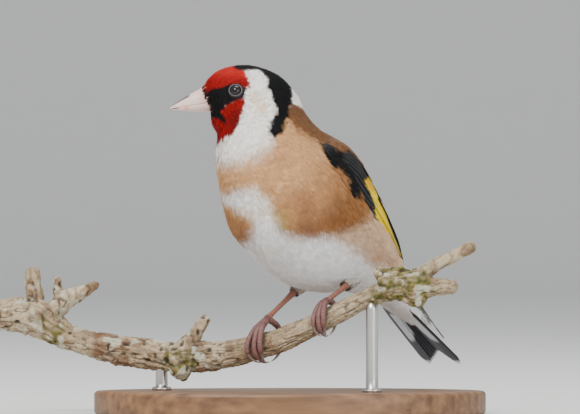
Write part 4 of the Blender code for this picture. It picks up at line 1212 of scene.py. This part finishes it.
branchSizes = {
    "pixelsPerMm": 3.4,
    "middleColumn": 290.0,
    "baseTopRow": 392.0,
    "baseThickness": 7.0,
    "yaw": 24.0,
    "foot": (-6.5, -6.8),
    "line": (
        (-6, 317, 4.9), (14, 317, 5.4), (30, 319, 6.1), (46, 328, 5.0), (62, 339, 4.1), (90, 346, 3.9),
        (112, 351, 4.6), (140, 355, 4.4), (170, 358, 4.5), (200, 358, 4.6), (230, 355, 4.1), (252, 349, 3.9),
        (277, 342, 3.7), (300, 332, 3.5), (326, 319.5, 3.2), (352, 305.5, 3.0), (378, 293, 2.9),
        (394, 286, 4.6), (412, 285, 4.4), (429, 287, 2.9), (443, 286.5, 2.5), (453, 286.0, 2.1),
    ),
    "voxel": 0.3,
    "tints": {
        "beige": (150, 130, 100),
        "pale": (184, 168, 140),
        "brown": (98, 64, 38),
        "dark": (28, 21, 15),
        "moss": (58, 62, 18),
        "yellowMoss": (106, 96, 32),
        "lichen": (178, 176, 156),
    },
}


def picturePoint(column, row):
    x = (column - branchSizes["middleColumn"]) / branchSizes["pixelsPerMm"]
    z = branchSizes["baseThickness"] + (branchSizes["baseTopRow"] - row) / branchSizes["pixelsPerMm"]
    return x, z


def pictureAt(points):
    # column and row of points
    scale = branchSizes["pixelsPerMm"]
    column = branchSizes["middleColumn"] + points[..., 0] * scale
    return column, branchSizes["baseTopRow"] - (points[..., 2] - branchSizes["baseThickness"]) * scale


def branchPoint(column, row, depth=0.0):
    x, z = picturePoint(column, row)
    slope = math.tan(math.radians(branchSizes["yaw"]))
    return np.array([x, branchSizes["foot"][1] - slope * (x - branchSizes["foot"][0]) + depth, z])


def branchLine(steps):
    rows = [[*branchPoint(column, row), radius] for column, row, radius in branchSizes["line"]]
    line = curveAt(rows, np.linspace(0, len(rows) - 1, steps))
    return line[:, :3], line[:, 3]


def barkFinish():
    finish, nodes, links, shader = material("bark_weathered", 0.86)
    fine = noise(nodes, links, 1500, 6.0)
    streak = noise(nodes, links, 900, 5.0, (0.25, 1.0, 1.0))
    first = shadeBy(nodes, links, pointColour(nodes), fine, 0.7, 1.3)
    links.new(shadeBy(nodes, links, first, streak, 0.78, 1.2), shader.inputs["Base Color"])
    bumpFrom(nodes, links, shader, fine, 0.5, 0.25)
    return finish


def readArray(source, key, width, kind):
    values = np.empty(len(source) * width, kind)
    source.foreach_get(key, values)
    return values.reshape(-1, width)


def branchCore():
    # points, normals and faces of the solid branch, its bodies run into one another
    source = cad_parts["perch_branch"]
    copy = bpy.data.objects.new("branch_core", source.data.copy())
    bpy.context.scene.collection.objects.link(copy)
    remesh = copy.modifiers.new("remesh", "REMESH")
    remesh.mode = "VOXEL"
    remesh.voxel_size = branchSizes["voxel"] * mm
    softer = copy.modifiers.new("soften", "SMOOTH")
    softer.factor = 0.5
    softer.iterations = 6
    graph = bpy.context.evaluated_depsgraph_get()
    mesh = bpy.data.meshes.new_from_object(copy.evaluated_get(graph))
    bpy.data.objects.remove(copy)
    points = readArray(mesh.vertices, "co", 3, np.float32).astype(float) / mm
    normals = readArray(mesh.vertices, "normal", 3, np.float32).astype(float)
    mesh.calc_loop_triangles()
    faces = readArray(mesh.loop_triangles, "vertices", 3, np.int32)
    bpy.data.meshes.remove(mesh)
    return points, normals, faces


def makeBranch():
    points, normals, faces = branchCore()
    line, _ = branchLine(400)
    nearest = np.interp(points[:, 0], line[:, 0], np.arange(400)).astype(int)
    fromAxis = points - line[nearest]
    angle = np.arctan2(fromAxis[:, 2], -fromAxis[:, 1])
    stretched = np.stack([points[:, 0] / 5.0, 3.5 * np.cos(angle), 3.5 * np.sin(angle)], axis=-1)
    furrow = np.abs(grain(stretched, 0.9, 31))
    fineFurrow = np.abs(grain(stretched, 0.45, 32))
    pits = ease(0.45, 0.75, grain(points, 1.6, 34))
    column, row = pictureAt(points)

    def between(start, full, fades, ends):
        # 1 between two columns of the picture and 0 beyond them
        return ease(start, full, column) * (1 - ease(fades, ends, column))

    knot = between(362, 378, 425, 435) * ease(262, 268, row)
    rough = np.maximum(between(0, 60, 70, 100) + between(88, 100, 205, 240), 1 - ease(20, 60, column))
    rough = np.maximum(rough, knot)
    lift = 0.32 * grain(points, 4.5, 33) * (0.5 + rough) - 0.38 * (1 - ease(0.0, 0.28, furrow))
    lift = lift - 0.16 * (1 - ease(0.0, 0.3, fineFurrow))
    lift = lift - 0.5 * pits * rough + 0.3 * grain(points, 1.1, 35) * rough
    lift = lift + 0.12 * grain(points, 0.7, 36)
    points = points + normals * lift[:, None]

    tints = {key: paint(*tint) for key, tint in branchSizes["tints"].items()}
    colour = np.broadcast_to(tints["beige"], points.shape)
    colour = mixed(colour, tints["pale"], 0.5 + 0.5 * grain(points, 5.0, 37))
    colour = mixed(colour, tints["brown"], 0.5 * ease(0.1, 0.6, grain(points, 3.0, 38)))
    colour = mixed(colour, tints["dark"], 0.8 * (1 - ease(0.0, 0.12, furrow)))
    colour = mixed(colour, tints["brown"], 0.5 * (1 - ease(0.05, 0.25, fineFurrow)))
    brownPatch = between(86, 94, 122, 132) * (0.6 + 0.4 * grain(points, 2.0, 39))
    colour = mixed(colour, tints["brown"], np.clip(brownPatch, 0, 1))
    mossy = np.maximum(knot, between(158, 166, 192, 202) * ease(346, 356, row))
    mossy = np.maximum(mossy, between(34, 40, 56, 64) * ease(316, 322, row))
    amount = np.clip(mossy * (0.55 + 0.9 * grain(points, 1.4, 40)), 0, 1)
    moss = mixed(tints["moss"], tints["yellowMoss"], np.clip(0.5 + grain(points, 0.9, 41), 0, 1))
    colour = mixed(colour, moss, amount)
    spots = ease(0.35, 0.5, grain(points, 2.2, 42)) * rough
    colour = mixed(colour, tints["lichen"], 0.8 * spots)
    colour = mixed(colour, tints["dark"], 0.85 * pits * rough)
    shape = {"points": points, "faces": faces, "colours": colour}
    meshPiece("branch_bark", shape, barkFinish(), ["perch_branch"])
    report(f"branch of {len(faces)} triangles")


# Legs and toes

legSizes = {
    # column and row of each joint in the photograph, with its depth from the stand's middle
    "right": {"thigh": (306, 279, 6.0), "heel": (294.5, 292.5, 1.5), "knuckle": (267.5, 318.5)},
    "left": {"thigh": (356, 273, -3.5), "heel": (345.5, 286.5, -10.2), "knuckle": (327.0, 301.0)},
    "knuckleBehind": 0.4,
    "tarsusRadius": 0.78,
    "knuckleRadius": 1.0,
    "toeRadius": 0.88,
    "toeEnd": 0.62,
    "toeClear": 0.5,
    "clawRadius": 0.46,
    # turn from the foot's forward line, start and end angle round the branch, claw's end angle
    "toes": ((-17.0, 12.0, 112.0, 158.0), (2.0, 10.0, 138.0, 190.0), (21.0, 12.0, 118.0, 166.0),
             (182.0, 16.0, 104.0, 168.0)),
    "footTurn": {"right": 42.0, "left": 54.0},
    "tarsusScute": 1.15,
    "scute": 0.62,
    "tarsusTints": ((142, 92, 74), (72, 42, 34)),
    "toeTints": ((116, 78, 72), (42, 25, 26)),
    "clawTints": ((96, 72, 70), (168, 150, 146)),
    "thighFeathers": 460,
}


def toePath(centre, turn, branchDirection, reach, start, end, steps, lift):
    angle = math.radians(turn)
    forward = np.array([-math.cos(angle), -math.sin(angle), 0.0])
    upward = np.array([0.0, 0.0, 1.0])
    theta = np.radians(np.linspace(start, end, steps))[:, None]
    outward = np.sin(theta) * forward + np.cos(theta) * upward
    sideways = outward - dot(outward, branchDirection) * branchDirection
    offAxis = np.linalg.norm(sideways, axis=-1, keepdims=True)
    return centre + (reach / offAxis + lift * np.maximum(0.0, np.cos(theta)) ** 2) * outward


def scaledTube(path, sizes, steps, sides, scute, depth, tint, edgeTint, pads=0.0, padSide=None):
    # a tube with overlapping scutes along it, and pads on the side it grips with
    line = curveAt(np.column_stack([path, sizes]), np.linspace(0, len(path) - 1, steps))
    centres, radii = line[:, :3], line[:, 3]
    distance = distances(centres)
    phase = np.mod(distance / scute, 1.0)
    step = depth * (phase - 0.35)
    shape = tube(centres, radii, sides)
    points = shape["points"]
    ring = np.repeat(np.arange(steps), sides)
    radial = unit(points[: steps * sides] - centres[ring])
    lift = step[ring]
    if padSide is not None:
        facing = np.clip(dot(radial, unit(padSide[ring] - centres[ring]))[:, 0], 0, 1)
        bumps = 0.5 + 0.5 * np.cos(2 * np.pi * distance / (scute * 3.2))
        lift = lift * (1 - facing) + pads * facing**2 * bumps[ring]
    points[: steps * sides] += radial * (radii[ring] * lift)[:, None]
    dark = ease(0.78, 1.0, phase)[ring]
    colours = mixed(np.broadcast_to(tint, (steps * sides, 3)), edgeTint, 0.75 * dark)
    colours = colours * (1 + 0.18 * grain(points[: steps * sides], 0.8, 51))[:, None]
    shape["colours"] = np.concatenate([colours, [tint], [tint]])
    return shape


def thighTufts(rng, thigh, heel):
    # short feathers down the thigh to the heel
    count = legSizes["thighFeathers"]
    t = np.sort(rng.random(count) ** 0.8)
    spin = rng.uniform(0, 2 * np.pi, count)
    axis = unit(heel - thigh)
    across = unit(np.cross(axis, (0.0, 0.3, 1.0)))
    over = np.cross(axis, across)
    reach = np.linalg.norm(heel - thigh)
    radial = np.cos(spin)[:, None] * across + np.sin(spin)[:, None] * over
    stops = []
    for share in courseShares:
        down = t * reach * 0.85 - 1.0 + share * 3.0
        size = np.interp(down, (0, reach, reach + 3), (3.2, 1.3, 1.1))
        swirl = np.cross(axis, radial) * (share * rng.normal(0, 0.5, (count, 1)))
        stops.append(thigh + axis * down[:, None] + radial * size[:, None] + swirl)
    normals = np.repeat(radial[:, None], 3, axis=1)
    rise = riseBetween(rng, count, (-0.1, 0.15), (-0.1, 0.55))
    tint = mixed(palette["belly"], palette["buff"], rng.uniform(0.0, 0.7, count))
    tint = mixed(tint, palette["greyStreak"], 0.45 * ease(0.6, 1.0, t) + rng.uniform(0, 0.25, count))
    bake = bakeAt(3.0 + t, 150 + np.degrees(spin) * 0.1)
    return tufts(rng, np.stack(stops, axis=1), normals, np.full(count, 0.5), rise, 5, tint, tint * 1.05, bake)


def makeLegs(coatFinish):
    finish = paintedFinish("leg_scales", 0.48, 0.22, 0.14, 0.35)
    hornFinish = paintedFinish("claw_horn", 0.3, 0.4, 0.1, 0.1)
    pink, pinkDeep, toeTint, toeDeep, clawRoot, clawTip = (
        paint(*tint) for key in ("tarsusTints", "toeTints", "clawTints") for tint in legSizes[key])
    line, lineRadii = branchLine(400)
    rng = np.random.default_rng(12)
    for side in ("right", "left"):
        marks = legSizes[side]
        points = {}
        for key in ("thigh", "heel"):
            x, z = picturePoint(*marks[key][:2])
            points[key] = np.array([x, marks[key][2], z])
        thigh, heel = points["thigh"], points["heel"]
        knuckle = branchPoint(*marks["knuckle"], legSizes["knuckleBehind"])
        nearest = int(np.argmin(np.abs(line[:, 0] - knuckle[0])))
        centre, radius = line[nearest], lineRadii[nearest]
        direction = unit(line[nearest + 2] - line[nearest - 2])
        shank = unit(knuckle - heel)
        start, end = heel - shank * 1.6, knuckle - shank * 0.4
        path = [start + (end - start) * t for t in (0.0, 0.1, 0.2, 0.4, 0.7, 0.92, 1.0)]
        slim = legSizes["tarsusRadius"]
        sizes = [1.0, 1.1, 0.98, slim, slim * 0.92, slim * 1.05, slim * 1.25]
        tarsus = scaledTube(path, sizes, 150, 22, legSizes["tarsusScute"], 0.10, pink, pinkDeep)
        meshPiece("tarsus_scales_" + side, tarsus, finish, ["tarsus_" + side])

        parts = []
        reach = radius + legSizes["toeClear"] + legSizes["toeRadius"]
        rise = knuckle[2] - centre[2] - reach
        for number, (turn, first, last, clawEnd) in enumerate(legSizes["toes"], start=1):
            turn = turn + legSizes["footTurn"][side]
            bend = toePath(centre, turn, direction, reach, first, last, 9, rise * 0.55)
            bend[0] = bend[0] * 0.35 + knuckle * 0.65
            toeLine = np.vstack([knuckle + shank * -0.6, knuckle, bend])
            sizes = [0.85, legSizes["knuckleRadius"], 0.98]
            sizes += [legSizes["toeRadius"] * (1 - 0.02 * i) for i in range(7)]
            sizes += [legSizes["toeEnd"]]
            steps = 110
            inward = np.broadcast_to(centre, (steps, 3))
            parts.append(scaledTube(toeLine, sizes, steps, 20, legSizes["scute"], 0.14, toeTint, toeDeep,
                                    0.16, inward))
            shares = np.linspace(0, 1, 26)
            tip = toePath(centre, turn, direction, reach, last - 3.0, clawEnd, len(shares), 0.0)
            claw = tube(tip, legSizes["clawRadius"] * (1 - shares**1.9) + 0.05, 14)
            tints = mixed(clawRoot, clawTip, shares)
            claw["colours"] = np.concatenate([np.repeat(tints, 14, axis=0), tints[:1], tints[-1:]])
            name = f"claw_{side}_{number}"
            meshPiece(name + "_horn", claw, hornFinish, [name])
        meshPiece("toes_" + side, joined(parts), finish, ["foot_" + side])

        meshPiece("coat_thigh_" + side, thighTufts(rng, thigh, heel), coatFinish)
    report("legs, toes and claws")


# Stand

standSizes = {
    "halfLength": 58.0,
    "halfWidth": 40.0,
    "thickness": 7.0,
    "bevel": 1.2,
    "sides": 240,
    "rodRadius": 1.8,
    "rodColumns": (160.0, 372.0),
    "rodInside": 1.5,                      # from the rod's end up to the branch's middle line
    # height over the base and radius of each ring of the rod's foot
    "flange": ((0.0, 2.9), (0.7, 2.9), (0.95, 2.7), (1.05, 1.95)),
    # where the ramp starts and ends, with its colours
    "wood": ((0.32, (92, 62, 40)), (0.7, (142, 104, 70))),
    "steel": ((0.0, (168, 166, 162)), (1.0, (214, 212, 208))),
}


def makeStand():
    finish = rampFinish("base_oiled_wood", 0.42, (520, 6.0, (0.05, 1.0, 0.6)), standSizes["wood"],
                        (0.2, 0.12))
    sides = standSizes["sides"]
    turn = 2 * np.pi * np.arange(sides) / sides
    bevel, thick = standSizes["bevel"], standSizes["thickness"]
    arc = np.linspace(0, np.pi / 2, 7)
    profile = [(bevel * (1 - math.sin(a)), bevel * (1 - math.cos(a))) for a in arc]
    profile += [(bevel * (1 - math.cos(a)), thick - bevel + bevel * math.sin(a)) for a in arc]
    profile = [(20.0, 0.0), *profile, (6.0, thick), (20.0, thick)]
    rings = []
    for inset, height in profile:
        x = (standSizes["halfLength"] - inset) * np.cos(turn)
        y = (standSizes["halfWidth"] - inset) * np.sin(turn)
        rings.append(np.stack([x, y, np.full(sides, height)], axis=-1))
    points = np.concatenate([*rings, [(0.0, 0.0, 0.0), (0.0, 0.0, thick)]])
    base = {"points": points, "faces": closedFaces(len(profile), sides)}
    meshPiece("stand_base_wood", base, finish, ["stand_base"])

    finish = rampFinish("rod_brushed_steel", 0.32, (900, 4.0, (1.0, 1.0, 0.05)), standSizes["steel"],
                        (0.15, 0.05), Metallic=1.0)
    line, _ = branchLine(400)
    for number, column in enumerate(standSizes["rodColumns"], start=1):
        x, _ = picturePoint(column, 0)
        top = line[int(np.argmin(np.abs(line[:, 0] - x)))]
        heights = [thick + height for height, _ in standSizes["flange"]]
        heights += list(np.linspace(thick + 1.2, top[2] - standSizes["rodInside"], 10))
        sizes = [radius for _, radius in standSizes["flange"]] + [standSizes["rodRadius"]] * 10
        rod = tube([(top[0], top[1], z) for z in heights], sizes, 48)
        meshPiece(f"stand_rod_{number}_steel", rod, finish, [f"stand_rod_{number}"])
    report("stand")


# Room: a pale floor that sweeps up behind, soft lights and the camera

stageSizes = {
    "cameraDistance": 2385.0,
    "cameraHeight": 61.4,
    "lens": 500.0,
    "sweepStart": 3400.0,
    "sweepRadius": 900.0,
    "floorTint": (214, 214, 210),
}


def makeStage():
    finish, nodes, links, shader = material("floor_paper", 0.9)
    tint = nodes.new("ShaderNodeRGB")
    tint.outputs[0].default_value = (*paint(*stageSizes["floorTint"]), 1)
    shaded = shadeBy(nodes, links, tint.outputs[0], noise(nodes, links, 60, 3.0), 0.98, 1.02)
    links.new(shaded, shader.inputs["Base Color"])
    start, radius = stageSizes["sweepStart"], stageSizes["sweepRadius"]
    arc = np.linspace(0, np.pi / 2, 24)
    profile = [(-5000.0, 0.0), (-300.0, 0.0)]
    profile += [(start + radius * math.sin(a), radius * (1 - math.cos(a))) for a in arc]
    profile += [(start + radius, 2600.0)]
    xs = np.linspace(-4800, 4800, 14)
    points = np.array([(x, y, z) for y, z in profile for x in xs]) * mm
    faces = gridFaces(len(profile), len(xs))[:, ::-1]
    mesh = bpy.data.meshes.new("floor_sweep")
    mesh.from_pydata(points.tolist(), [], faces.tolist())
    mesh.polygons.foreach_set("use_smooth", np.ones(len(faces), bool))
    mesh.materials.append(finish)
    floor = bpy.data.objects.new("floor_sweep", mesh)
    bpy.context.scene.collection.objects.link(floor)

    world = bpy.data.worlds.new("studio")
    world.use_nodes = True
    world.node_tree.nodes["Background"].inputs["Color"].default_value = (0.88, 0.91, 0.95, 1)
    world.node_tree.nodes["Background"].inputs["Strength"].default_value = 0.85
    bpy.context.scene.world = world
    lights = (
        # name, place, size, watts, colour
        ("key", (-0.55, -1.0, 1.15), 0.9, 27.0, (1.0, 0.97, 0.93)),
        ("fill", (0.9, -1.3, 0.5), 1.1, 10.0, (0.93, 0.96, 1.0)),
        ("top", (0.1, 0.25, 1.3), 0.9, 10.0, (0.95, 0.97, 1.0)),
    )
    target = np.array([0.0, -0.01, 0.06])
    for name, place, size, watts, colour in lights:
        lamp = bpy.data.lights.new(name, "AREA")
        lamp.shape = "DISK"
        lamp.size = size
        lamp.energy = watts
        lamp.color = colour
        item = bpy.data.objects.new(name, lamp)
        item.location = place
        aim = unit(target - np.array(place))
        item.rotation_euler = (math.acos(-aim[2]), 0.0, math.atan2(aim[1], aim[0]) - math.pi / 2)
        bpy.context.scene.collection.objects.link(item)

    camera = bpy.data.cameras.new("camera")
    camera.lens = stageSizes["lens"]
    camera.sensor_width = 36.0
    camera.clip_end = 20.0
    viewer = bpy.data.objects.new("camera", camera)
    viewer.location = (0.0, -stageSizes["cameraDistance"] * mm, stageSizes["cameraHeight"] * mm)
    viewer.rotation_euler = (math.pi / 2, 0.0, 0.0)
    bpy.context.scene.collection.objects.link(viewer)
    bpy.context.scene.camera = viewer
    report("floor, lights and camera")


makeStage()
skinFinish = paintedFinish("skin_down", 0.85, 0.35, 0.12, 0.3)
coatFinish = paintedFinish("coat_feathers", 0.75, 0.3, 0.14, 0.18, **{"Specular IOR Level": 0.2})
flightFinish = vaneFinish("flight_vanes", 0.46, wingSizes["barbGap"])
makeSkin(skinFinish)
makeEyes()
makeBill()
makeCoat(coatFinish)
makeWing(1, "wing_left", flightFinish)
makeWing(-1, "wing_right", flightFinish)
makeTail(flightFinish)
makeBranch()
makeLegs(coatFinish)
makeStand()

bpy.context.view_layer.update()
report("sizes written")
